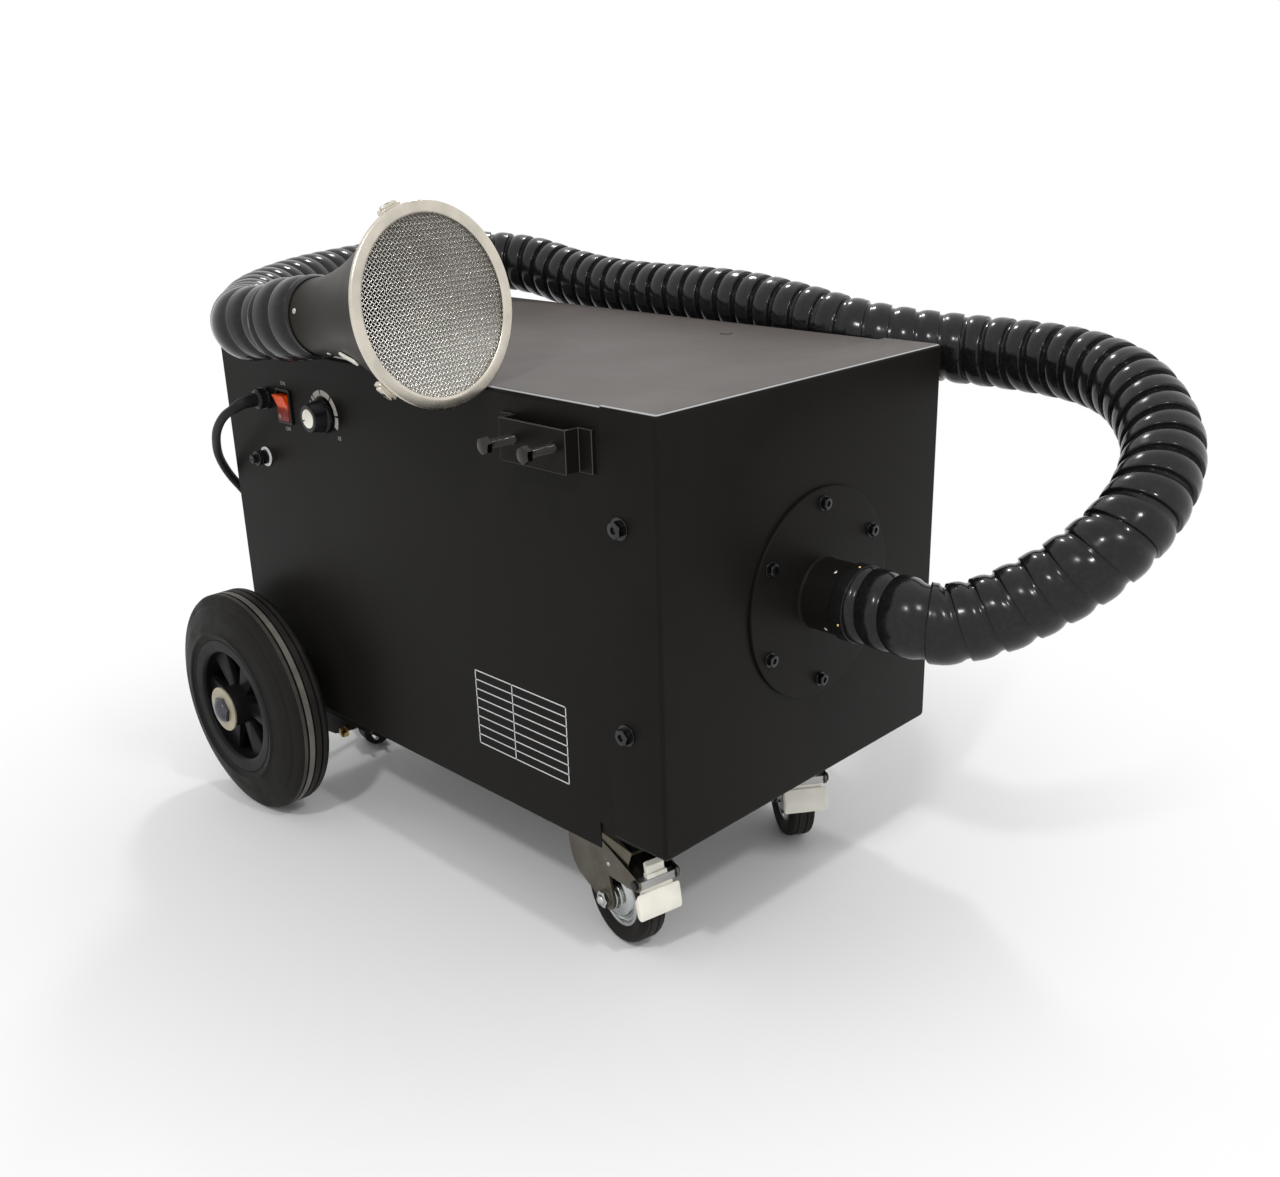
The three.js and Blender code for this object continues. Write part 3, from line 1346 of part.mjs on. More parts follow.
// The suction hose: a ribbed tube with its bore, from the cuff round behind the cabinet to the hood.
// Its points are chosen by hand along the route that it takes
function suctionHose(forward, neckEnd) {
  const start = new THREE.Vector3(cuffEnd + gap, inletOffset, inletHeight);
  const end = new THREE.Vector3(...hoodCentre).addScaledVector(forward, neckEnd - gap);
  const behind = (distance) => end.clone().addScaledVector(forward, -distance);
  const middle = [
    [444, 20, 324], [476, 44, 333], [507, 68, 353], [533, 86, 376], [550, 106, 398], [557, 134, 419],
    [554, 165, 438],
    [542, 197, 455], [518, 228, 472], [482, 258, 488], [438, 281, 496], [390, 292, 499], [342, 294, 500],
    [300, 288, 501],
    [262, 272, 504], [225, 253, 509], [186, 238, 516], [130, 231, 526], [60, 230, 534], [-20, 230, 536],
    [-100, 230, 536],
    [-160, 230, 538], [-225, 229, 545], [-285, 224, 556], [-335, 202, 562], [-362, 160, 564],
    [-369, 105, 564],
    [-362, 50, 563], [-350, 0, 562], [-335, -48, 561], [-310, -98, 560], [-280, -145, 558],
    [-245, -186, 556], [-205, -217, 554.5]
  ].map((p) => new THREE.Vector3(...p));
  const points = [
    start, start.clone().addScaledVector(X, hoseStartRun),
    start.clone().addScaledVector(X, hoseStartShare * hoseStartRun), ...middle,
    behind(1.5 * hoseRadius), behind(hoseRadius / 2), end];
  const curve = new THREE.CatmullRomCurve3(points, false, 'centripetal');
  curve.arcLengthDivisions = 2000;
  const stepsPerRib = 10;
  const divisions = hoseRibs * stepsPerRib;
  const outside = [[0, hoseRadius]];
  for (let rib = 0; rib < hoseRibs; rib++) {
    outside.push([(rib + 1 / 2) * stepsPerRib, hoseNeckRadius], [(rib + 1) * stepsPerRib, hoseRadius]);
  }
  const inside = [];
  for (let rib = 0; rib < hoseRibs; rib += 5) inside.push([rib * stepsPerRib, hoseBore]);
  inside.push([divisions, hoseBore]);
  const sides = 8;
  const outerRings = circlesAlong(curve, divisions, outside, sides);
  const innerRings = circlesAlong(curve, divisions, inside, sides);
  console.log('suction hose length', curve.getLength().toFixed(1));
  return piece('suction_hose', pipe(outerRings, innerRings), hoseBlack);
}

// An outer and an inner row of rings joined at both ends into one hollow body
function pipe(outerRings, innerRings) {
  const sides = outerRings[0].length;
  const positions = [...outerRings, ...innerRings].flat().flatMap((p) => [p.x, p.y, p.z]);
  const faces = [];
  const band = (from, to) => {
    for (let j = 0; j < sides; j++) {
      const next = (j + 1) % sides;
      faces.push(from + j, from + next, to + next, from + j, to + next, to + j);
    }
  };
  const innerFrom = outerRings.length * sides;
  for (let i = 0; i + 1 < outerRings.length; i++) band(i * sides, (i + 1) * sides);
  for (let i = 0; i + 1 < innerRings.length; i++) band(innerFrom + (i + 1) * sides, innerFrom + i * sides);
  band(innerFrom, 0);
  band(innerFrom - sides, innerFrom + (innerRings.length - 1) * sides);
  return facingOut(positions, faces);
}

// The mains cord: a free stretch from the gland to the floor behind the cabinet, a round coil
// wound in on its upper layer and out on the lower one, and a plug lying on the floor beside it.
// The points of the free stretch are chosen by hand
function mainsCord() {
  const group = new THREE.Group();
  const mouth = new THREE.Vector3(glandX, wallY - glandLength - gap, glandHeight);
  const coil = coilPoints();
  const arriving = coil[0].clone().sub(coil[1]).normalize();
  const end = coil.length - 1;
  const leaving = coil[end].clone().sub(coil[end - 1]).normalize();
  const route = [
    [-243, -218, 463], [-249, -225, 458], [-264, -229, 449], [-287, -227, 432], [-310, -219, 412],
    [-329, -208, 390],
    [-341, -193, 366], [-347, -174, 340], [-351, -153, 306], [-353, -134, 264], [-354, -116, 216],
    [-354, -98, 164],
    [-352, -80, 116], [-347, -60, 74], [-341, -36, 40]
  ].map((p) => new THREE.Vector3(...p));
  const joint = coil[0].clone().addScaledVector(arriving, gap);
  const free = new THREE.CatmullRomCurve3(
    [mouth, ...route, joint.clone().addScaledVector(arriving, 3 * coilPitch), joint], false, 'centripetal');
  free.arcLengthDivisions = 1500;
  const stations = Array.from({ length: cordSteps + 1 }, (_, i) => [i, cordRadius]);
  group.add(piece('power_cord', lofted(circlesAlong(free, cordSteps, stations, cordSides)), blackRubber));
  group.add(piece('cord_coil', lofted(ringsAt(coil)), blackRubber));
  group.add(plug(coil[end], leaving));
  const wound = coil.slice(1).reduce((sum, point, i) => sum + point.distanceTo(coil[i]), 0);
  console.log(
    'mains cord length', (free.getLength() + gap + wound).toFixed(1), 'of which in the coil',
    wound.toFixed(1)
  );
  console.log('least gap in the coil', leastGap(coil).toFixed(2));
  return group;
}

// The coil's centre line. Its radius falls and rises at a steady rate, it climbs down a layer in the
// half turn at the middle, and its tail leaves straight and rises to the plug's axis
function coilPoints() {
  const inner = coilRadius - coilPitch * coilTurns / 2;
  const turns = 2 * coilTurns;
  const steps = turns * coilSteps;
  const points = [];
  for (let i = 0; i <= steps; i++) {
    const done = turns * i / steps;
    const radius = inner + coilPitch * Math.abs(done - coilTurns);
    const climb = THREE.MathUtils.smoothstep(done, coilTurns - 1 / 4, coilTurns + 1 / 4);
    const turn = coilStart + 2 * Math.PI * done;
    points.push(new THREE.Vector3(
      coilX + radius * Math.cos(turn), coilY + radius * Math.sin(turn),
      cordRadius + floorGap + coilPitch * (1 - climb)));
  }
  const last = points[points.length - 1];
  const along = last.clone().sub(points[points.length - 2]).normalize();
  for (let i = 1; i <= coilTailSteps; i++) {
    const share = i / coilTailSteps;
    const lift = (plugBodyRadius - cordRadius) * THREE.MathUtils.smoothstep(
      share, 0, 1 - 1 / coilTailSteps
    );
    points.push(last.clone().addScaledVector(along, coilTail * share).setZ(last.z + lift));
  }
  return points;
}

// A ring of corners round each point of the coil, square to its run, with a corner at the bottom
function ringsAt(points) {
  return points.map((point, i) => {
    const before = points[Math.max(0, i - 1)];
    const after = points[Math.min(points.length - 1, i + 1)];
    const tangent = after.clone().sub(before).normalize();
    const side = new THREE.Vector3().crossVectors(Z, tangent).normalize();
    const up = new THREE.Vector3().crossVectors(tangent, side);
    return Array.from({ length: coilSides }, (_, j) => {
      const turn = 2 * Math.PI * j / coilSides;
      return point.clone()
        .addScaledVector(up, -cordRadius * Math.cos(turn))
        .addScaledVector(side, cordRadius * Math.sin(turn));
    });
  });
}

// The least distance between the surfaces of two turns, measured between the points of the line
function leastGap(points) {
  const apart = Math.ceil(coilSteps / 2);
  let least = Infinity;
  for (let i = 0; i + 1 < points.length; i++) {
    const run = new THREE.Line3(points[i], points[i + 1]);
    const nearest = new THREE.Vector3();
    for (let j = 0; j < points.length; j++) {
      if (Math.abs(i - j) < apart) continue;
      least = Math.min(least, run.closestPointToPoint(points[j], true, nearest).distanceTo(points[j]));
    }
  }
  return least - 2 * cordRadius;
}

// A round two-pin plug, drawn along +Z from the cord's end and laid on the floor
function plug(end, direction) {
  const bodyFrom = gap + plugReliefLength;
  const front = bodyFrom + plugBodyLength;
  const body = turned([
    [0, gap], [cordRadius + overrun / 2, gap], [plugReliefRadius, bodyFrom],
    [plugBodyRadius * 0.8, bodyFrom + overrun],
    [plugBodyRadius, bodyFrom + plugBodyLength * 0.3], [plugBodyRadius, front], [0, front]
  ], 'z', middleSides, Math.PI / middleSides);
  const pin = (side) => turned(
    rodProfile(plugPinRadius, front - overrun, front + plugPinLength), 'z', boltSides
  )
    .translate(0, side * plugPinSpacing / 2, 0);
  const mesh = piece('plug', joined(body, pin(-1), pin(1)), blackRubber);
  const flat = direction.clone().setZ(0).normalize();
  const across = new THREE.Vector3().crossVectors(Z, flat);
  mesh.quaternion.setFromRotationMatrix(new THREE.Matrix4().makeBasis(Z.clone().negate(), across, flat));
  mesh.position.copy(end);
  return mesh;
}

// The whole machine, moved so that its origin lies on the floor under the middle of its own box. The
// tyres reach furthest back, the cuff furthest forward, the hood's ring and the axle furthest out
const machine = new THREE.Group();
machine.add(cabinetShell(), frontPan(), basePan(), rearPanel(), inlet(), coverBolts(), clamp(), controls());
machine.add(largeWheel('near', -1), largeWheel('far', 1), rearAxle());
machine.add(caster('near', -1, casterNearTurnDegrees), caster('far', 1, casterFarTurnDegrees));
machine.add(filterStage(), blower());
const { group: hoodGroup, forward, neckEnd } = hood();
machine.add(hoodGroup);
const box = new THREE.Box3().setFromObject(machine, true);
machine.add(suctionHose(forward, neckEnd), mainsCord());
machine.position.set(-(box.min.x + box.max.x) / 2, -(box.min.y + box.max.y) / 2, 0);

export default machine;
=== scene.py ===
import json
import math

import bmesh
import bpy
import numpy as np
from bpy.props import FloatProperty, FloatVectorProperty, IntProperty, PointerProperty
from mathutils import Matrix, Vector


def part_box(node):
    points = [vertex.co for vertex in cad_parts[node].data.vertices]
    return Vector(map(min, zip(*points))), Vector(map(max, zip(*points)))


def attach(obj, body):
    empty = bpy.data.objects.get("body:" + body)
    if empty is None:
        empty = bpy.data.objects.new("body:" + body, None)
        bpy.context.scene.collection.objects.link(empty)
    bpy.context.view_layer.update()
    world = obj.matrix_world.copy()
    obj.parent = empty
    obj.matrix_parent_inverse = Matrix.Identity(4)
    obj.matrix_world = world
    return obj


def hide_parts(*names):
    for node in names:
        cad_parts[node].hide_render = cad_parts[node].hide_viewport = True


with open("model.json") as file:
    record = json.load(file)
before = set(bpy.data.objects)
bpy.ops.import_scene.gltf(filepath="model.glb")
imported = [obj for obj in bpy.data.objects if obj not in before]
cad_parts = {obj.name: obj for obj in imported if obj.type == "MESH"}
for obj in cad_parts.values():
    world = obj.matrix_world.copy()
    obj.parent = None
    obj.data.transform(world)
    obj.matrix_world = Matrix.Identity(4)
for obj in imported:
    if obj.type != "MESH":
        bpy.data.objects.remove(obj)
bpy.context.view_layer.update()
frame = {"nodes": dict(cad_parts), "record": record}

bl_info = {
    "name": "Mobile fume extractor",
    "version": (1, 0, 0),
    "blender": (4, 5, 0),
    "location": "3D View > Sidebar > Extractor",
    "description": "Dresses the packed frame of a mobile welding fume extractor",
    "category": "Object",
}

MM = 0.001
SHELL_LOW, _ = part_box("cabinet_shell")
PAN_LOW, PAN_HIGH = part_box("front_pan")
# The cabinet's middle on the floor, from which every place below is counted in millimetres
ORIGIN = np.array([(SHELL_LOW.x + PAN_HIGH.x) / 2, (PAN_LOW.y + PAN_HIGH.y) / 2, 0.0])
X, Y, Z = np.eye(3)
# The cabinet's sheet, in millimetres
SHEET = 1.5
# The pan's lid laps over the shell's, with a gap between the two sheets
LAP_GAP = 0.3
SHELL_TOP = PAN_HIGH.z - (SHEET + LAP_GAP) * MM
# Points nearer than this are one; edges sharper than this are shaded as edges
MERGE = 2e-6
SHARP = math.radians(33)


def at(points):
    """Places counted in millimetres from the cabinet's middle, as metres in the frame."""
    return ORIGIN + np.asarray(points, float) * MM


def measured(point):
    """A place in the frame as millimetres from the cabinet's middle, to a hundredth."""
    return np.round((np.array(point) - ORIGIN) / MM, 2)


# The back and front of the pan, the skirt's lower edge, half the width, the lid's height and the
# near wall's outer face
PAN_BACK, _, SKIRT = measured(PAN_LOW)
PAN_FRONT, HALF_WIDTH, LID = measured(PAN_HIGH)
WALL_Y = measured(SHELL_LOW)[1]


def unit(vectors):
    """Vectors of length one."""
    vectors = np.asarray(vectors, float)
    return vectors / np.linalg.norm(vectors, axis=-1, keepdims=True)


def smooth(values, low, high):
    """A smooth step from 0 below low to 1 above high."""
    share = np.clip((values - low) / (high - low), 0, 1)
    return share * share * (3 - 2 * share)


def square_to(axis):
    """Two directions square to the axis, the second as near as can be to Z, or to Y near Z itself."""
    axis = unit(axis)
    side = unit(np.cross(Y if abs(axis @ Z) > 0.99 else Z, axis))
    return side, np.cross(axis, side)


def rounded(corners, radii, steps=4, closed=False):
    """A line through corners, each replaced by a curve: p + (1-t)^2 a + t^2 b, t from 0 to 1,
    where a and b lead back and on along the sides by the corner's radius at most."""
    corners = np.asarray(corners, float)
    count = len(corners)
    radii = np.broadcast_to(radii, count)
    line = []
    for i, corner in enumerate(corners):
        if not closed and i in (0, count - 1) or radii[i] <= 0:
            line.append(corner[None])
            continue
        back, on = corners[i - 1] - corner, corners[(i + 1) % count] - corner
        back_length, on_length = np.linalg.norm(back), np.linalg.norm(on)
        reach = min(radii[i], 0.46 * back_length, 0.46 * on_length)
        t = np.linspace(0, 1, steps + 1)[:, None]
        line.append(corner + (1 - t) ** 2 * back * reach / back_length + t**2 * on * reach / on_length)
    return np.concatenate(line)


def grid(points, round_columns=True, round_rows=False, caps=(False, False)):
    """Quads between the rows and columns of a grid of points, closed round either way if asked,
    with a flat face over the first or the last row."""
    rows, columns = points.shape[:2]
    index = np.arange(rows * columns).reshape(rows, columns)
    if round_columns:
        index = np.hstack([index, index[:, :1]])
    if round_rows:
        index = np.vstack([index, index[:1]])
    quads = np.stack([index[:-1, :-1], index[:-1, 1:], index[1:, 1:], index[1:, :-1]], -1)
    faces = quads.reshape(-1, 4).tolist()
    if caps[0]:
        faces.append(list(range(columns))[::-1])
    if caps[1]:
        faces.append(list(range((rows - 1) * columns, rows * columns)))
    return points.reshape(-1, 3), faces


def revolve(profile, centre, axis, sides, closed=False):
    """A profile of (radius, distance along) in millimetres carried round an axis:
    centre + distance * axis + radius * (cos a * side + sin a * up)."""
    profile = np.asarray(profile, float) * MM
    side, up = square_to(axis)
    angle = 2 * math.pi * np.arange(sides) / sides
    spoke = np.cos(angle)[:, None] * side + np.sin(angle)[:, None] * up
    points = centre + profile[:, 1, None, None] * unit(axis) + profile[:, 0, None, None] * spoke
    return grid(points, round_rows=closed)


def ring_section(inner, outer, low, high, soft):
    """The closed section of a ring, its four corners softened, for a closed revolve."""
    return rounded([(inner, low), (outer, low), (outer, high), (inner, high)], soft, closed=True)


def slab(outline, centre, side, up, axis, low, high, soft=0.8, steps=3):
    """An outline in millimetres along side and up, carried along the axis from low to high. Its two
    edges are rounded: near an end the outline is drawn in by soft * (1 - cos a) towards its middle."""
    outline = np.asarray(outline, float)
    middle = outline.mean(0)
    reach = np.linalg.norm(outline - middle, axis=1, keepdims=True)
    bend = np.linspace(0, math.pi / 2, steps + 1)
    inset = soft * (1 - np.concatenate([np.sin(bend), np.sin(bend[::-1])]))
    away = soft * (1 - np.cos(bend))
    along = np.concatenate([low + away, high - away[::-1]])
    drawn = outline[None] - (outline - middle)[None] / reach[None] * inset[:, None, None]
    points = centre + MM * (
        drawn[..., :1] * side + drawn[..., 1:] * up + along[:, None, None] * unit(axis))
    return grid(points, caps=(True, True))


def hexagon_head(centre, axis, across, height, low, turn, recess=0.0, columns=36):
    """A hexagon head: radius a / cos(angle from the flat's middle), its upper corners cut by a cone,
    with a round recess in its top if asked."""
    angle = 2 * math.pi * np.arange(columns) / columns
    from_flat = np.mod(angle, math.pi / 3) - math.pi / 6
    flat, top, even = across / 2, low + height, np.ones(columns)
    corner = flat / np.cos(from_flat)
    cut = (corner - flat * 0.95) * 0.58
    rows = [(corner, low * even), (corner, top - cut), (0.95 * flat * even, top * even)]
    if recess:
        rows += [(recess * even, top * even), (0.9 * recess * even, (top - 0.6 * recess) * even)]
    radius, along = np.array(rows).transpose(1, 0, 2)
    side, up = square_to(axis)
    spoke = np.cos(angle + turn)[:, None] * side + np.sin(angle + turn)[:, None] * up
    points = centre + MM * (radius[..., None] * spoke + along[..., None] * unit(axis))
    return grid(points, caps=(True, True))


def bolt(centre, axis, across, height, washer, thick, turn, recess=0.0):
    """A hexagon head on its washer, both standing on the face at the centre."""
    disc = [(0, 0), (washer, 0), *rounded([(washer, 0), (washer, thick), (0, thick)], 0.3)[1:]]
    head = hexagon_head(centre, axis, across, height, thick, turn, recess)
    return [revolve(disc, centre, axis, 40), head]


def rivet(centre, axis, radius, height, sides=16):
    """A low domed head: radius * cos a, height * sin a."""
    a = np.linspace(0, math.pi / 2, 6)
    profile = np.stack([radius * np.cos(a), height * np.sin(a)], 1)
    return revolve(np.vstack([[(0, -0.3), (radius, -0.3)], profile]), centre, axis, sides)


def thread(centre, axis, radius, pitch, low, high):
    """A screw's shank: radius - depth * (1 + cos(2 pi (distance / pitch - turn))) / 2."""
    columns, depth = 24, 0.5 * pitch
    distance = np.linspace(low, high, round(6 * (high - low) / pitch) + 1)[:, None]
    turn = np.arange(columns)[None] / columns
    reach = radius - depth * (1 + np.cos(2 * math.pi * (distance / pitch - turn))) / 2
    spoke = ring(*square_to(axis), columns)
    points = centre + MM * (reach[..., None] * spoke + (distance * unit(axis))[:, None])
    return grid(points, caps=(True, True))


def fluted(profile, centre, axis, count, depth, low, high, sides):
    """A revolved profile whose skin sinks in flutes between two heights, by
    depth * (1 - cos(count * angle)) / 2."""
    points, faces = revolve(profile, centre, axis, sides)
    along = (points - centre) @ unit(axis)
    spoke = points - centre - along[:, None] * unit(axis)
    reach = np.linalg.norm(spoke, axis=1)
    angle = 2 * math.pi * np.arange(len(points)) / sides
    sunk = depth * MM * (1 - np.cos(count * angle)) / 2 * ((along > low * MM) & (along < high * MM))
    share = np.divide(sunk, reach, out=np.zeros_like(reach), where=reach > MERGE)
    return points - spoke * share[:, None], faces


def dense(points, spacing):
    """A smooth line through points, on the spans' centripetal cubic: c0 + c1 t + c2 t^2 + c3 t^3."""
    points = np.asarray(points, float)
    ends = 2 * points[[0, -1]] - points[[1, -2]]
    p = np.vstack([ends[:1], points, ends[1:]])
    step = np.linalg.norm(np.diff(p, axis=0), axis=1)[:, None] ** 0.5
    slope = np.diff(p, axis=0) / step
    two = (p[2:] - p[:-2]) / (step[1:] + step[:-1])
    tangent = slope[:-1] - two + slope[1:]
    start, finish = p[1:-2], p[2:-1]
    c1, c1_next = tangent[:-1] * step[1:-1], tangent[1:] * step[1:-1]
    c2 = -3 * start + 3 * finish - 2 * c1 - c1_next
    c3 = 2 * start - 2 * finish + c1 + c1_next
    t = np.linspace(0, 1, 60, endpoint=False)[:, None, None]
    fine = (start + c1 * t + c2 * t**2 + c3 * t**3).transpose(1, 0, 2).reshape(-1, 3)
    fine = np.vstack([fine, points[-1:]])
    return spaced(fine, spacing)


def spaced(line, spacing):
    """The same line with points a steady distance apart."""
    run = lengths(line)
    stations = np.linspace(0, run[-1], max(2, round(run[-1] / spacing) + 1))
    return np.stack([np.interp(stations, run, line[:, k]) for k in range(3)], 1)


def lengths(line):
    """How far along the line each of its points lies."""
    return np.concatenate([[0], np.cumsum(np.linalg.norm(np.diff(line, axis=0), axis=1))])


def carried(line, start=Z):
    """A side and an up direction at each point, carried along the line without twist."""
    tangent = unit(np.gradient(line, axis=0))
    up = [unit(start - tangent[0] * (start @ tangent[0]))]
    for t in tangent[1:]:
        up.append(unit(up[-1] - t * (up[-1] @ t)))
    up = np.array(up)
    return np.cross(up, tangent), up


def tube(line, radius, sides, start):
    """A round tube along a line of points in metres, closed at both ends."""
    side, up = carried(line, start)
    angle = 2 * math.pi * np.arange(sides) / sides
    radius = np.broadcast_to(radius, len(line))[:, None, None] * MM
    spoke = np.cos(angle)[None, :, None] * side[:, None] + np.sin(angle)[None, :, None] * up[:, None]
    return grid(line[:, None] + radius * spoke, caps=(True, True))


def wound_tube(line, pitch, profile, columns, plain, blend, bore):
    """A tube whose radius follows a profile wound round it as a screw: at column j of m the profile
    starts j / m of the pitch further on. Near its ends the radius turns into the plain one, and a
    smooth bore runs through it."""
    run = lengths(line)
    total = run[-1]
    side, up = carried(line)
    phases, radii = np.asarray(profile, float).T
    turns = int(total / (pitch * MM)) + 3
    turn = np.arange(-1, turns)[:, None] + phases[None]
    row = turn.reshape(-1, 1) + np.arange(columns)[None] / columns
    along = np.clip(row * pitch * MM, 0, total)
    radius = np.repeat(np.tile(radii, turns + 1)[:, None], columns, 1)
    inside = smooth(np.minimum(along, total - along), 0, blend * MM)
    radius = (plain + (radius - plain) * inside) * MM
    angle = 2 * math.pi * np.arange(columns) / columns
    pick = [np.stack([np.interp(along, run, v[:, k]) for k in range(3)], -1) for v in (line, side, up)]
    spoke = np.cos(angle)[None, :, None] * pick[1] + np.sin(angle)[None, :, None] * pick[2]
    points = pick[0] + radius[..., None] * spoke
    rows, step = len(points), len(phases)
    index = np.arange(rows * columns).reshape(rows, columns)
    index = np.hstack([index[:-step], index[step:, :1]])
    quads = np.stack([index[:-1, :-1], index[:-1, 1:], index[1:, 1:], index[1:, :-1]], -1)
    first = line[0] + plain * MM * ring(side[0], up[0], columns)
    last = line[-1] + plain * MM * ring(side[-1], up[-1], columns)
    core = spaced(line, 12 * MM)
    inner = core[:, None] + bore * MM * np.stack([ring(s, u, columns) for s, u in zip(*carried(core))])
    return [
        (points.reshape(-1, 3), quads.reshape(-1, 4).tolist()), grid(inner),
        grid(np.stack([first, inner[0]])), grid(np.stack([last, inner[-1]]))]


def ring(side, up, columns):
    """Directions all round, from one side towards up."""
    angle = 2 * math.pi * np.arange(columns) / columns
    return np.cos(angle)[:, None] * side + np.sin(angle)[:, None] * up


def surface(name, patches, finishes, parts=None, sharp=SHARP):
    """One mesh object of several patches, its doubles merged and its faces turned outwards. parts
    gives each patch's finish by its place among the finishes named."""
    mesh = bpy.data.meshes.new(name)
    points, faces, slots, start = [], [], [], 0
    for k, (patch, quads) in enumerate(patches):
        points.append(patch)
        faces += [[start + i for i in face] for face in quads]
        slots += [parts[k] if parts else 0] * len(quads)
        start += len(patch)
    mesh.from_pydata(np.concatenate(points).tolist(), [], faces)
    mesh.polygons.foreach_set("material_index", slots)
    made = bmesh.new()
    made.from_mesh(mesh)
    bmesh.ops.remove_doubles(made, verts=made.verts, dist=MERGE)
    bmesh.ops.dissolve_degenerate(made, edges=made.edges, dist=MERGE / 2)
    bmesh.ops.recalc_face_normals(made, faces=made.faces)
    made.to_mesh(mesh)
    made.free()
    return finished(name, mesh, finishes, sharp)


def finished(name, mesh, finishes, sharp=SHARP):
    """A smooth shaded object of a mesh, with the finishes named."""
    for key in finishes:
        mesh.materials.append(finish_of(key))
    mesh.polygons.foreach_set("use_smooth", [True] * len(mesh.polygons))
    mesh.set_sharp_from_angle(angle=sharp)
    made = bpy.data.objects.new(name, mesh)
    bpy.context.scene.collection.objects.link(made)
    return made


def mount(piece, body, slot, *nodes):
    """The piece rides on its body and stands for its nodes. The slot is not used."""
    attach(piece, body)
    if nodes:
        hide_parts(*nodes)
    return piece


def body_of(node):
    """The body that a node belongs to."""
    groups = frame["record"]["behaviour"]["bodies"]
    return next(body for body, nodes in groups.items() if node in nodes)


def slot_of(node):
    """The material slot that the record gives a node."""
    return next(row["material_slot"] for row in frame["record"]["subparts"] if row["node"] == node)


def stand_for(piece, node):
    """The piece takes the place of a node, on its body."""
    return mount(piece, body_of(node), slot_of(node), node)


def middle_of(node):
    """The middle of a node's box, in metres."""
    low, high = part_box(node)
    return np.array((low + high) / 2)


def dressed(node, finish, edge, segments=2, edge_finish=None):
    """A merged copy of a node with softened edges and even shading, in the node's place; its edges
    can have a finish of their own."""
    made = bmesh.new()
    made.from_mesh(frame["nodes"][node].data)
    bmesh.ops.remove_doubles(made, verts=made.verts, dist=MERGE)
    bmesh.ops.dissolve_limit(
        made, angle_limit=math.radians(0.6), verts=made.verts, edges=made.edges)
    mesh = bpy.data.meshes.new(node + "_dressed")
    made.to_mesh(mesh)
    made.free()
    mesh.materials.clear()
    finishes = [finish, edge_finish] if edge_finish else [finish]
    piece = finished(node + "_dressed", mesh, finishes)
    bevel = piece.modifiers.new("softened edges", "BEVEL")
    bevel.material = 1 if edge_finish else -1
    bevel.width = edge * MM
    bevel.segments = segments
    bevel.limit_method = "ANGLE"
    bevel.angle_limit = SHARP
    bevel.harden_normals = True
    even = piece.modifiers.new("even shading", "WEIGHTED_NORMAL")
    even.keep_sharp = True
    return stand_for(piece, node)


# How far printed marks stand off the wall
PRINT_LIFT = 0.12


def lettering(text, height, centre, side, up, out):
    """Plain letters of a height in millimetres, centred on a place and facing out."""
    data = bpy.data.curves.new("letters", "FONT")
    data.body, data.size, data.extrude, data.resolution_u = text, 1.0, 0.0, 3
    data.align_x, data.align_y = "CENTER", "CENTER"
    written = bpy.data.objects.new("letters", data)
    mesh = written.to_mesh()
    flat = np.empty(3 * len(mesh.vertices))
    mesh.vertices.foreach_get("co", flat)
    faces = [list(face.vertices) for face in mesh.polygons]
    written.to_mesh_clear()
    bpy.data.objects.remove(written)
    bpy.data.curves.remove(data)
    flat = flat.reshape(-1, 3)
    scale = height / np.ptp(flat[:, 1])
    points = centre + MM * (scale * (flat[:, :1] * side + flat[:, 1:2] * up) + PRINT_LIFT * out)
    return points, faces


class Value:
    """A socket whose sums and products add Math nodes to its material."""

    def __init__(self, finish, socket):
        self.finish, self.socket = finish, socket

    def __add__(self, other):
        return self.finish.node("ShaderNodeMath", {0: self, 1: other}, operation="ADD")

    def __mul__(self, other):
        return self.finish.node("ShaderNodeMath", {0: self, 1: other}, operation="MULTIPLY")


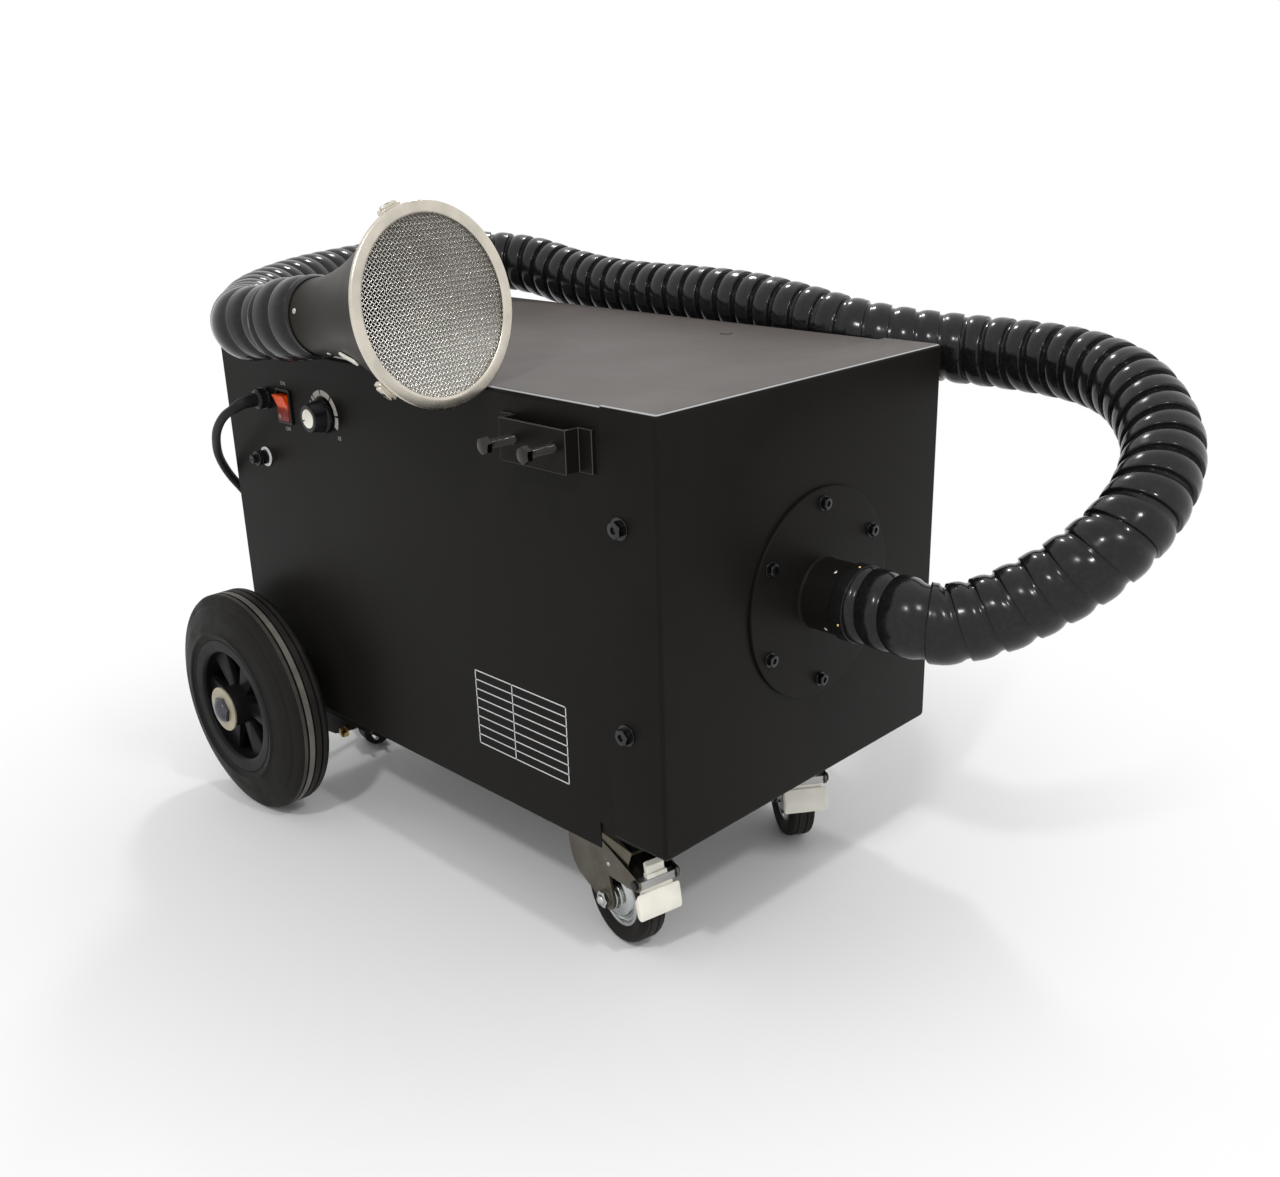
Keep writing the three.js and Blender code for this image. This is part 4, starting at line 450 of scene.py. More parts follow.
class Finish:
    """A material being made: its shader, and one method that adds any other node."""

    def __init__(self, name, colour, roughness, metallic=0.0, **sockets):
        self.material = bpy.data.materials.new(name)
        self.material.use_nodes = True
        self.tree = self.material.node_tree
        self.shader = self.tree.nodes["Principled BSDF"]
        self.colour = (*colour, 1)
        self.set(Base_Color=self.colour, Roughness=roughness, Metallic=metallic, **sockets)
        self.place = self.node("ShaderNodeTexCoord", out="Object")

    def set(self, **sockets):
        """Sets or links the shader's sockets, an underscore in a name standing for a space."""
        for name, value in sockets.items():
            self.feed(self.shader.inputs[name.replace("_", " ")], value)

    def feed(self, socket, value):
        """Links a value to the socket, or sets the socket to a plain one."""
        if isinstance(value, Value):
            self.tree.links.new(value.socket, socket)
        else:
            socket.default_value = value

    def node(self, kind, sockets=(), out=0, **settings):
        """A node of a kind with its settings and the values or links of its sockets."""
        made = self.tree.nodes.new(kind)
        for name, value in settings.items():
            setattr(made, name, value)
        for key, value in dict(sockets).items():
            self.feed(made.inputs[key], value)
        return Value(self, made.outputs[out])

    def noise(self, scale, detail, stretch=(1, 1, 1), roughness=0.5):
        """Noise on the piece's own place, drawn out by stretch."""
        place = self.node("ShaderNodeMapping", {"Vector": self.place, "Scale": stretch})
        return self.node("ShaderNodeTexNoise", {
            "Vector": place, "Scale": scale, "Detail": detail, "Roughness": roughness})

    def ramp(self, value, low, high, dark=0.0, bright=1.0):
        """The value spread from dark at low to bright at high."""
        return self.node("ShaderNodeMapRange", {
            "Value": value, "From Min": low, "From Max": high, "To Min": dark, "To Max": bright})

    def blend(self, share, first, second):
        """A colour between two."""
        return self.node(
            "ShaderNodeMix", {0: share, 6: first, 7: second}, out=2, data_type="RGBA")

    def bump(self, height, distance, strength):
        """The surface raised by height times distance in millimetres."""
        normal = self.node("ShaderNodeBump", {
            "Height": height, "Distance": distance * MM, "Strength": strength})
        self.set(Normal=normal)

    def part(self, axis):
        """One of the place's coordinates, in metres."""
        return self.node("ShaderNodeSeparateXYZ", {"Vector": self.place}, out=axis)


# The lid's dust colour, which also serves as a painted sheen of light on the lid
LID_DUST_AND_SHEEN = (0.105, 0.092, 0.086, 1)
# A painted highlight along the bend below the lid
BEND_PAINTED_HIGHLIGHT = (0.42, 0.42, 0.43, 1)
# Painted light inside the hood: a painted highlight low down, painted shade above, and near black painted
# shade deep in the neck
LINING_PAINTED_HIGHLIGHT = (1.0, 0.98, 0.93, 1)
LINING_PAINTED_SHADE = (0.34, 0.33, 0.31, 1)
NECK_PAINTED_SHADE = (0.012, 0.012, 0.012, 1)
# The net's painted highlight
WIRE_PAINTED_HIGHLIGHT = (1.0, 0.98, 0.92, 1)
# Painted shade on the rocker's lower half
RED_PAINTED_SHADE = (0.20, 0.010, 0.004, 1)
# The way across the hood's mouth in which the net's painted highlight fades to its plain colour
NET_SHADE = (0.5, 0.55, 0.7)


def shade(colour, factor):
    """A lighter or darker colour, as four numbers."""
    return (*(min(1.0, c * factor) for c in tuple(colour)[:3]), 1)


def powder_coat(name, colour, top=None):
    """Powder coat: a fine orange peel, faint cloudy patches and a few pale specks of dust. A face
    at the top height carries a film of dust with painted sheen, the bend below it a painted highlight."""
    finish = Finish(name, colour, 0.4, Specular_IOR_Level=0.07)
    cloud = finish.noise(9, 4)
    dust = finish.ramp(finish.noise(900, 1), 0.70, 0.76)
    base = finish.blend(finish.ramp(cloud, 0.35, 0.7), shade(colour, 0.86), shade(colour, 1.16))
    base = finish.blend(dust * 0.35, base, shade(colour, 4))
    if top:
        height = finish.part("Z")
        # A film over the top face: partly dust, partly a painted sheen where the lid catches light
        film = finish.ramp(height, top - 0.25 * MM, top - 0.05 * MM)
        patchy = finish.ramp(finish.noise(14, 5, roughness=0.6), 0.3, 0.7, 0.8, 1.0)
        base = finish.blend(film * patchy, base, LID_DUST_AND_SHEEN)
        # A thin line on the bend below the top face: a painted highlight
        line = finish.ramp(height, top - 1.3 * MM, top - 0.9 * MM) * finish.ramp(
            height, top - 0.15 * MM, top - 0.4 * MM)
        base = finish.blend(line, base, BEND_PAINTED_HIGHLIGHT)
    finish.set(Base_Color=base)
    finish.set(Roughness=finish.ramp(cloud, 0.3, 0.7, 0.35, 0.46))
    finish.bump(finish.noise(1400, 2), 0.035, 0.6)
    return finish.material


def hose_plastic(name, colour):
    """Extruded plastic strip: glossy, with faint smears and moulding waves."""
    finish = Finish(name, colour, 0.15, Specular_IOR_Level=0.3)
    smear = finish.noise(60, 4, roughness=0.6)
    finish.set(Roughness=finish.ramp(smear, 0.3, 0.75, 0.12, 0.27))
    finish.set(Base_Color=finish.blend(
        finish.ramp(finish.noise(220, 3), 0.4, 0.75), (*colour, 1), shade(colour, 1.9)))
    finish.bump(finish.noise(130, 2), 0.16, 0.5)
    return finish.material


def moulded(name, colour, roughness, grain, depth, gloss=0.4):
    """Moulded plastic or rubber: a fine grain and slightly uneven colour."""
    finish = Finish(name, colour, roughness, Specular_IOR_Level=gloss)
    cloud = finish.noise(45, 3)
    finish.set(Base_Color=finish.blend(cloud, shade(colour, 0.85), shade(colour, 1.15)))
    finish.set(Roughness=finish.ramp(cloud, 0.3, 0.7, roughness - 0.06, roughness + 0.08))
    finish.bump(finish.noise(grain, 2), depth, 0.6)
    return finish.material


def plated(name, colour, roughness, grain=240, tint=None, spread=0.09, depth=0.02, metallic=1.0):
    """Bare or plated metal: drawn grain, patches of a second tint, uneven gloss."""
    finish = Finish(name, colour, roughness, metallic)
    grainy = finish.noise(grain, 4, roughness=0.6)
    cloud = finish.noise(38, 3)
    second = shade(tint or colour, 1.0 if tint else 0.8)
    finish.set(Base_Color=finish.blend(finish.ramp(cloud, 0.38, 0.68), (*colour, 1), second))
    finish.set(Roughness=finish.ramp(grainy, 0.25, 0.75, roughness - spread, roughness + spread))
    if depth:
        finish.bump(grainy, depth, 0.5)
    return finish.material


def hood_lining(name, colour):
    """Bare sheet inside the hood: a painted highlight low down, painted shade above, and dark painted shade
    deep in the neck.
    """
    finish = Finish(name, tuple(colour), 0.3, 0.7)
    cloud = finish.noise(26, 3)
    mouth = at(HOOD_CENTRE)
    # A painted highlight low down, painted shade higher up and deep in the neck
    height = finish.ramp(finish.part("Z") + cloud * 0.02, mouth[2] - 45 * MM, mouth[2] + 40 * MM)
    deep = finish.ramp(finish.part("X"), mouth[0] - 95 * MM, mouth[0] - 125 * MM)
    base = finish.blend(height, LINING_PAINTED_HIGHLIGHT, LINING_PAINTED_SHADE)
    finish.set(Base_Color=finish.blend(deep, base, NECK_PAINTED_SHADE))
    finish.set(Roughness=finish.ramp(cloud, 0.3, 0.7, 0.25, 0.4))
    return finish.material


def net_wires(name, colour):
    """Steel wires with a painted highlight towards the net's lower left, where the bare sheet behind them
    lights them more.
    """
    finish = Finish(name, colour, 0.25, 1.0)
    # A painted highlight on the wires towards the lower left
    across = finish.part("X") * NET_SHADE[0] + finish.part("Y") * NET_SHADE[1]
    along = across + finish.part("Z") * NET_SHADE[2] + finish.noise(34, 3) * 0.03
    middle = float(np.dot(at(HOOD_CENTRE), NET_SHADE)) + 0.015
    place = finish.ramp(along, middle - 42 * MM, middle + 22 * MM)
    finish.set(Base_Color=finish.blend(place, WIRE_PAINTED_HIGHLIGHT, (*colour, 1)))
    return finish.material


def tyre_rubber(name, colour):
    """Rubber with a dry bloom of dust that gathers in patches."""
    finish = Finish(name, colour, 0.62, Specular_IOR_Level=0.12)
    dust = finish.ramp(finish.noise(22, 5, roughness=0.65), 0.42, 0.72)
    finish.set(Base_Color=finish.blend(dust, (*colour, 1), shade(colour, 1.7)))
    finish.set(Roughness=finish.ramp(dust, 0, 1, 0.5, 0.78))
    finish.bump(finish.noise(420, 3), 0.06, 0.7)
    return finish.material


def fibre(name, colour):
    """Filter paper: short fibres and a cloudy tone."""
    finish = Finish(name, colour, 0.9, Specular_IOR_Level=0.2)
    fibres = finish.noise(520, 5, (1, 1, 6), 0.7)
    finish.set(Base_Color=finish.blend(fibres, shade(colour, 0.8), shade(colour, 1.1)))
    finish.bump(fibres, 0.1, 0.8)
    return finish.material


class FinishSettings(bpy.types.PropertyGroup):
    """The colours of the machine's finishes."""

    def tint(name, text, colour):
        """A colour that a user can change."""
        return FloatVectorProperty(
            name=name, description=text, default=colour, size=3, subtype="COLOR", min=0, max=1)

    paint: tint("Cabinet paint", "Powder coat of the cabinet", (0.0085, 0.0076, 0.0067))
    hose: tint("Hose", "Plastic strip of the suction hose", (0.0065, 0.0063, 0.0065))
    rubber: tint("Rubber", "Tyres of the large wheels and casters", (0.0085, 0.0078, 0.0070))
    cable: tint("Cable", "Sheath of the mains cord", (0.012, 0.0115, 0.011))
    plastic: tint("Black plastic", "Knob, gland, bezel and wheel centres", (0.008, 0.008, 0.008))
    red: tint("Rocker", "Upper half of the switch", (0.78, 0.075, 0.008))
    cream: tint("Cream parts", "Brake pedals and the knob's cap", (0.86, 0.835, 0.74))
    stainless: tint("Stainless", "The hood's ring and net", (0.70, 0.65, 0.56))
    zinc: tint("Zinc", "Hubs, nuts and screws", (0.56, 0.56, 0.55))
    olive: tint("Passivated steel", "Caster forks", (0.105, 0.092, 0.068))


class SizeSettings(bpy.types.PropertyGroup):
    """Sizes of what the scene adds, in metres."""

    hose_pitch: FloatProperty(
        name="Hose pitch", description="Distance from one lip of the hose to the next",
        default=0.025, unit="LENGTH")
    net_pitch: FloatProperty(
        name="Net pitch", description="Distance between the wires of the hood's net",
        default=0.003, unit="LENGTH")
    net_wire: FloatProperty(
        name="Net wire", description="Thickness of the hood's net wires",
        default=0.001, unit="LENGTH")
    round_sides: IntProperty(
        name="Round sides", description="Sides of the large round pieces", default=128, min=24)


MADE = {}


def finish_of(key):
    """The machine's finishes, each made once."""
    tints = bpy.context.scene.extractor_finishes
    makers = {
        "paint": lambda: powder_coat("black powder coat", tints.paint),
        # The shell and the pan carry dust with a painted sheen, and a painted bend highlight, on their tops
        "shell paint": lambda: powder_coat("black powder coat with dust, sheen and bend highlight", tints.paint, SHELL_TOP),
        "pan paint": lambda: powder_coat("black powder coat of the pan", tints.paint, PAN_HIGH.z),
        "hood paint": lambda: powder_coat("hood paint", (0.020, 0.0165, 0.012)),
        "hose": lambda: hose_plastic("hose strip", tints.hose),
        "rubber": lambda: tyre_rubber("tyre rubber", tints.rubber),
        "worn": lambda: tyre_rubber("worn tread", shade(tints.rubber, 2.2)[:3]),
        "cable": lambda: moulded("cable sheath", tints.cable, 0.5, 900, 0.04, 0.2),
        "plastic": lambda: moulded("black plastic", tints.plastic, 0.26, 500, 0.02, 0.25),
        "matt plastic": lambda: moulded("matt black plastic", tints.plastic, 0.48, 700, 0.04, 0.2),
        "red": lambda: rocker_red("rocker red", tints.red),
        "cream": lambda: moulded("cream plastic", tints.cream, 0.36, 300, 0.02, 0.5),
        "white": lambda: moulded("white nylon", (0.68, 0.67, 0.66), 0.4, 300, 0.02, 0.5),
        "print": lambda: moulded("grey print", (0.45, 0.42, 0.385), 0.55, 900, 0.01, 0.2),
        "white print": lambda: moulded("white print", (0.62, 0.62, 0.63), 0.5, 900, 0.01),
        "stainless": lambda: plated("brushed stainless", tints.stainless, 0.28, grain=18, depth=0),
        "wire": lambda: net_wires("net wire", (0.44, 0.42, 0.385)),
        "lining": lambda: hood_lining("bare inside of the hood", tints.stainless),
        "zinc": lambda: plated("bright zinc", tints.zinc, 0.2),
        "dull zinc": lambda: plated("dull zinc", shade(tints.zinc, 0.8)[:3], 0.4),
        "olive": lambda: plated("passivated steel", tints.olive, 0.34, tint=(0.15, 0.138, 0.11)),
        "pressed zinc": lambda: plated("pressed zinc", (0.50, 0.52, 0.51), 0.22),
        "washer": lambda: plated("pale washer", (0.42, 0.38, 0.28), 0.45, metallic=0.4),
        "screw steel": lambda: plated("dark screw steel", (0.05, 0.047, 0.044), 0.13),
        # A painted highlight for the clamp bracket's edges
        "edge highlight": lambda: moulded("painted edge highlight", (0.042, 0.039, 0.036), 0.3, 900, 0.01, 0.3),
        # The brake cover's dark steel, also used as painted shade on the fork's inner faces
        "cover steel and inner shade": lambda: plated(
            "dark brake cover and painted inner shade", (0.035, 0.038, 0.045), 0.16, tint=(0.09, 0.1, 0.11)),
        # A painted gold highlight for the caster forks' folded edges
        "gold edge highlight": lambda: plated("painted highlight on fork edges", (0.50, 0.42, 0.27), 0.3),
        "dark chrome": lambda: plated("dark chrome", (0.085, 0.088, 0.10), 0.12, spread=0.05),
        "wheel plastic": lambda: moulded(
            "wheel plastic", shade(tints.plastic, 1.1)[:3], 0.4, 260, 0.03, 0.08),
        "pale worn": lambda: tyre_rubber("pale worn tread", shade(tints.rubber, 15)[:3]),
        "shoulder": lambda: tyre_rubber("worn shoulder", shade(tints.rubber, 6)[:3]),
        "caster rubber": lambda: tyre_rubber("caster rubber", shade(tints.rubber, 1.1)[:3]),
        "yellow zinc": lambda: plated("yellow zinc", (0.72, 0.52, 0.2), 0.3),
        "black steel": lambda: plated("blackened steel", (0.055, 0.053, 0.055), 0.3),
        "sheet": lambda: plated("galvanised sheet", (0.42, 0.43, 0.44), 0.38, grain=24),
        "cast": lambda: moulded("cast motor body", (0.12, 0.125, 0.13), 0.55, 240, 0.12),
        "paper": lambda: fibre("filter paper", (0.68, 0.64, 0.55)),
        "floor": floor_finish,
    }
    if key not in MADE:
        MADE[key] = makers[key]()
    return MADE[key]


def rocker_red(name, colour):
    """Clear red plastic, with a painted highlight on its raised upper half and painted shade on its lower
    half.
    """
    low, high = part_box("rocker")
    finish = Finish(name, tuple(colour), 0.22, Specular_IOR_Level=0.22)
    middle = (low.z + high.z) / 2
    # Painted light: lighter above the middle, darker below
    height = finish.ramp(finish.part("Z"), middle - 2 * MM, middle + 3 * MM)
    finish.set(Base_Color=finish.blend(height, RED_PAINTED_SHADE, (*colour, 1)))
    finish.set(Roughness=finish.ramp(finish.noise(300, 2), 0.3, 0.7, 0.16, 0.3))
    finish.bump(finish.noise(500, 2), 0.02, 0.5)
    return finish.material


# How far from the middle the floor starts to turn white and has turned white, in metres
FLOOR_FADE = (0.40, 0.85)
# How strongly the white world lights the machine
WORLD_LIGHT = 0.75
# Small soft lamps overhead: place in metres, size in metres, power in watts
LAMPS = {
    "key": ((0.9, -1.7, 2.3), 0.2, 17), "second": ((1.7, -0.3, 1.9), 0.16, 10),
    "rear": ((-1.2, 1.2, 2.2), 0.3, 12)}
LAMP_AIM = Vector((0.05, -0.05, 0.4))
# The photograph's camera, solved from the cabinet's edges: turn from -Y, rise and roll in degrees,
# lens and place
CAMERA_ANGLES = (45.2475, 20.0056, -1.6961)
CAMERA_LENS = 37.108
CAMERA_PLACE = (996.3, -879.1, 737.1)


def floor_finish():
    """Pale and rough near the machine; far out it glows plain white to the camera."""
    finish = Finish("pale floor", (0.90, 0.90, 0.90), 0.6, Specular_IOR_Level=0.2)
    distance = finish.node("ShaderNodeVectorMath", {0: finish.place}, out=1, operation="LENGTH")
    far = finish.node("ShaderNodeMapRange", {
        "Value": distance, "From Min": FLOOR_FADE[0], "From Max": FLOOR_FADE[1]},
        interpolation_type="SMOOTHSTEP")
    rays = finish.node("ShaderNodeLightPath", out="Is Camera Ray")
    glossy = finish.node("ShaderNodeLightPath", out="Is Glossy Ray")
    white = finish.node("ShaderNodeEmission", {"Color": (1, 1, 1, 1), "Strength": 1.0})
    shader = Value(finish, finish.shader.outputs[0])
    mixed = finish.node("ShaderNodeMixShader", {0: far * (rays + glossy), 1: shader, 2: white})
    finish.feed(finish.tree.nodes["Material Output"].inputs["Surface"], mixed)
    finish.set(Roughness=finish.ramp(finish.noise(3, 2), 0.3, 0.7, 0.55, 0.65))
    return finish.material


class EXTRACTOR_OT_stage(bpy.types.Operator):
    """Makes the floor, the lamps, the world and the camera"""

    bl_idname = "extractor.stage"
    bl_label = "Stage"

    def execute(self, context):
        self.floor()
        self.world(context.scene)
        self.lamps(context.scene)
        self.camera(context.scene)
        context.scene.view_settings.view_transform = "Standard"
        return {"FINISHED"}

    def floor(self):
        """A disc of rings that grow by a steady factor; far out it turns into plain white."""
        radius = np.concatenate([[0], np.geomspace(0.3, 40, 24)])
        points = radius[:, None, None] * ring(X, Y, 64)[None]
        surface("floor", [grid(points)], ["floor"])

    def world(self, scene):
        """White to the camera and in reflections, weaker as light on the machine."""
        scene.world = bpy.data.worlds.new("studio")
        scene.world.use_nodes = True
        tree = scene.world.node_tree
        background = tree.nodes["Background"]
        background.inputs["Color"].default_value = (1, 1, 1, 1)
        path = tree.nodes.new("ShaderNodeLightPath")
        strength = path.outputs["Is Camera Ray"]
        for other in ("Is Glossy Ray", "Is Transmission Ray"):
            total = tree.nodes.new("ShaderNodeMath")
            total.operation = "MAXIMUM"
            tree.links.new(strength, total.inputs[0])
            tree.links.new(path.outputs[other], total.inputs[1])
            strength = total.outputs[0]
        spread = tree.nodes.new("ShaderNodeMapRange")
        spread.inputs["To Min"].default_value = WORLD_LIGHT
        tree.links.new(strength, spread.inputs["Value"])
        tree.links.new(spread.outputs[0], background.inputs["Strength"])

    def lamps(self, scene):
        """Discs of light that all face the machine."""
        for name, (place, size, power) in LAMPS.items():
            data = bpy.data.lights.new(name, "AREA")
            data.shape, data.size, data.energy = "DISK", size, power
            lamp = bpy.data.objects.new(name, data)
            turned = (LAMP_AIM - Vector(place)).to_track_quat("-Z", "Y").to_matrix().to_4x4()
            lamp.matrix_world = Matrix.Translation(place) @ turned
            scene.collection.objects.link(lamp)

    def camera(self, scene):
        """Its axes: back from turn and rise, right and up turned about it by the roll."""
        turn, rise, roll = map(math.radians, CAMERA_ANGLES)
        level = math.cos(rise)
        back = np.array([math.sin(turn) * level, -math.cos(turn) * level, math.sin(rise)])
        right = unit(np.cross(Z, back))
        up = np.cross(back, right)
        turned_right = math.cos(roll) * right + math.sin(roll) * up
        turned_up = math.cos(roll) * up - math.sin(roll) * right
        data = bpy.data.cameras.new("camera")
        data.sensor_width, data.lens, data.clip_end = 36, CAMERA_LENS, 200
        made = bpy.data.objects.new("camera", data)
        matrix = np.eye(4)
        matrix[:3, :3] = np.stack([turned_right, turned_up, back], 1)
        matrix[:3, 3] = at(CAMERA_PLACE)
        made.matrix_world = Matrix(matrix.tolist())
        scene.collection.objects.link(made)
        scene.camera = made


# The hood stands askew: its own directions, and its places counted from the middle of its mouth
HOOD_CENTRE = (123, -233.9, 592.3)
HOOD_FORWARD = unit((0.99, 0.06, 0.13))
HOOD_SIDE = unit(np.cross(Z, HOOD_FORWARD))
HOOD_UP = np.cross(HOOD_FORWARD, HOOD_SIDE)
# The ring's outer radius and its opening, how far it wraps back, and the thickness of its sheet
HOOD_RING = 82.8
HOOD_OPEN = 72.4
HOOD_WRAP = 3
RING_WALL = 1.4
# The cone's neck, where the neck ends and the flare starts, and its wall
HOOD_NECK = 34
NECK_END = -222
HOOD_FLARE_START = -149
CONE_WALL = 1.3
# Turns about the hood, in degrees from up towards its side, and the net's own turn
HOOD_TAB_TURNS = (-18, 102, -135)
HOOD_RIVET_TURNS = (-118, -81, 95)
HOOD_RIVET_RADIUS = 78.6
NECK_RIVETS = ((-75, -149.6), (-150, -131), (103, -149.6), (20, -149.6))
CLIP_TURN, CLIP_BACK, CLIP_FRONT, CLIP_LENGTH = -130, -90, -57, 34
NET_TURN = -45

INLET_LOW, INLET_HIGH = map(measured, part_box("inlet_flange"))
# The middle of the inlet's flange on the pan's face, its radius, its collar's radius and end
INLET = (INLET_LOW[0], *np.round((INLET_LOW + INLET_HIGH)[1:] / 2, 2))
FLANGE_RADIUS = (INLET_HIGH - INLET_LOW)[2] / 2
COLLAR_LENGTH = (INLET_HIGH - INLET_LOW)[0]
COLLAR_RADIUS = 32.7
CUFF_WALL = 2.3

HOSE_RADIUS = 34.5
HOSE_BORE = 28
HOSE_COLUMNS = 48
# Hose lips and other wound plastic keep an edge only where it is sharper than this
LIP_SHARP = math.radians(38)
# The hose starts just clear of the cuff and ends on the hood's neck
HOSE_START = (measured(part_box("hose_cuff")[1])[0] + 0.3, *INLET[1:])
HOSE_END = np.array(HOOD_CENTRE) + (NECK_END - 0.3) * HOOD_FORWARD
# The hose's route from the cuff round behind the cabinet to the hood
HOSE_ROUTE = [
    (444, 20, 324), (476, 44, 333), (507, 68, 353), (533, 86, 376), (550, 106, 398), (557, 134, 419),
    (554, 165, 438), (542, 197, 455), (518, 228, 472), (482, 258, 488), (438, 281, 496), (390, 292, 499),
    (342, 294, 500), (300, 288, 501), (262, 272, 504), (225, 253, 509), (186, 238, 516), (130, 231, 526),
    (60, 230, 534), (-20, 230, 536), (-100, 230, 536), (-160, 230, 538), (-225, 229, 545),
    (-285, 224, 556), (-335, 202, 562), (-362, 160, 564), (-369, 105, 564), (-362, 50, 563),
    (-350, 0, 562), (-335, -48, 561), (-310, -98, 560), (-280, -145, 558), (-245, -186, 556),
    (-205, -217, 554.5)]
# One turn of the hose: its lip, its swelling back and the groove under the next lip
HOSE_PROFILE = [
    (0, 33.7), (0.03, 34.05), (0.10, 34.1), (0.25, 34.45), (0.40, 34.5), (0.55, 34.1), (0.68, 33.2),
    (0.78, 31.9), (0.84, 31.2), (0.92, 31.1), (0.985, 31.1), (0.99, 33.3)]


def in_hood(side, up, forward):
    """A place in the hood, in millimetres along its own directions."""
    return at(HOOD_CENTRE) + MM * (side * HOOD_SIDE + up * HOOD_UP + forward * HOOD_FORWARD)


def round_hood(turn):
    """The direction at a turn in degrees from up towards the hood's own side."""
    turn = math.radians(turn)
    return math.cos(turn) * HOOD_UP + math.sin(turn) * HOOD_SIDE


def flare_at(forward):
    """The cone's radius: neck + growth * share ** 1.6 of the way from where the flare starts."""
    share = np.clip((forward - HOOD_FLARE_START) / -(HOOD_FLARE_START + HOOD_WRAP), 0, 1)
    return HOOD_NECK + (HOOD_RING - 0.8 - HOOD_NECK) * share**1.6


def on_hood(turn, forward, lift=0.0):
    """A place on the cone's skin, lifted off it, and the direction out of it."""
    out = round_hood(turn)
    return in_hood(0, 0, forward) + (flare_at(forward) + lift) * MM * out, out


class EXTRACTOR_OT_hose(bpy.types.Operator):
    """Makes the suction hose from the inlet's cuff to the hood"""

    bl_idname = "extractor.hose"
    bl_label = "Suction hose"

    def execute(self, context):
        sizes = context.scene.extractor_sizes
        start = np.array(HOSE_START)
        route = [
            start, start + 30 * X, start + 48 * X, *HOSE_ROUTE, HOSE_END - 51.75 * HOOD_FORWARD,
            HOSE_END - 17.25 * HOOD_FORWARD, HOSE_END]
        line = dense(at(route), 2 * MM)
        patches = wound_tube(
            line, sizes.hose_pitch / MM, HOSE_PROFILE, HOSE_COLUMNS, HOSE_RADIUS - 0.4, 7, HOSE_BORE)
        piece = surface("hose", patches, ["hose"], sharp=LIP_SHARP)
        mount(piece, "root", "hose_plastic", "suction_hose")
        return {"FINISHED"}


CORD_RADIUS = 4.7
CORD_SIDES = 16
GLAND_MOUTH = (-242, -205.25, 464.5)
# The mains cord's free stretch from the gland down behind the cabinet
CORD_ROUTE = [
    (-243, -218, 463), (-249, -225, 458), (-264, -229, 449), (-287, -227, 432), (-310, -219, 412),
    (-329, -208, 390), (-341, -193, 366), (-347, -174, 340), (-351, -153, 306), (-353, -134, 264),
    (-354, -116, 216), (-354, -98, 164), (-352, -80, 116), (-347, -60, 74), (-341, -36, 40)]
# The coil: its middle on the floor, its middle radius, the step from turn to turn and from layer to
# layer, the turns of a layer, the straight steps of a turn, its tail and its lower layer's height
COIL_CENTRE = (-408, 30)
COIL_RADIUS = 55
COIL_PITCH = 10.3
COIL_TURNS = 3.375
COIL_STEPS = 16
COIL_TAIL = 60
COIL_FLOOR = 4.9
PLUG_RADIUS = 18
PLUG_LENGTH = 34
PIN_LENGTH = 19
PIN_OFFSET = 9.5
RELIEF_LENGTH = 26
RELIEF_RIDGES = 6


def coil_line():
    """The coil's line in millimetres: its radius falls and rises at a steady rate, it climbs down a
    layer in the half turn at the middle, and its tail leaves straight and rises to the plug."""
    steps = round(2 * COIL_TURNS * COIL_STEPS)
    done = 2 * COIL_TURNS * np.arange(steps + 1) / steps
    radius = COIL_RADIUS - COIL_PITCH * COIL_TURNS / 2 + COIL_PITCH * np.abs(done - COIL_TURNS)
    climb = smooth(done, COIL_TURNS - 0.25, COIL_TURNS + 0.25)
    turn = 2 * math.pi * done
    coil = np.stack([
        COIL_CENTRE[0] + radius * np.cos(turn), COIL_CENTRE[1] + radius * np.sin(turn),
        COIL_FLOOR + COIL_PITCH * (1 - climb)], 1)
    along = unit(coil[-1] - coil[-2])
    share = np.arange(1, 7)[:, None] / 6
    tail = coil[-1] + COIL_TAIL * share * along
    tail[:, 2] = coil[-1, 2] + (PLUG_RADIUS - CORD_RADIUS) * smooth(share[:, 0], 0, 5 / 6)
    return coil, tail


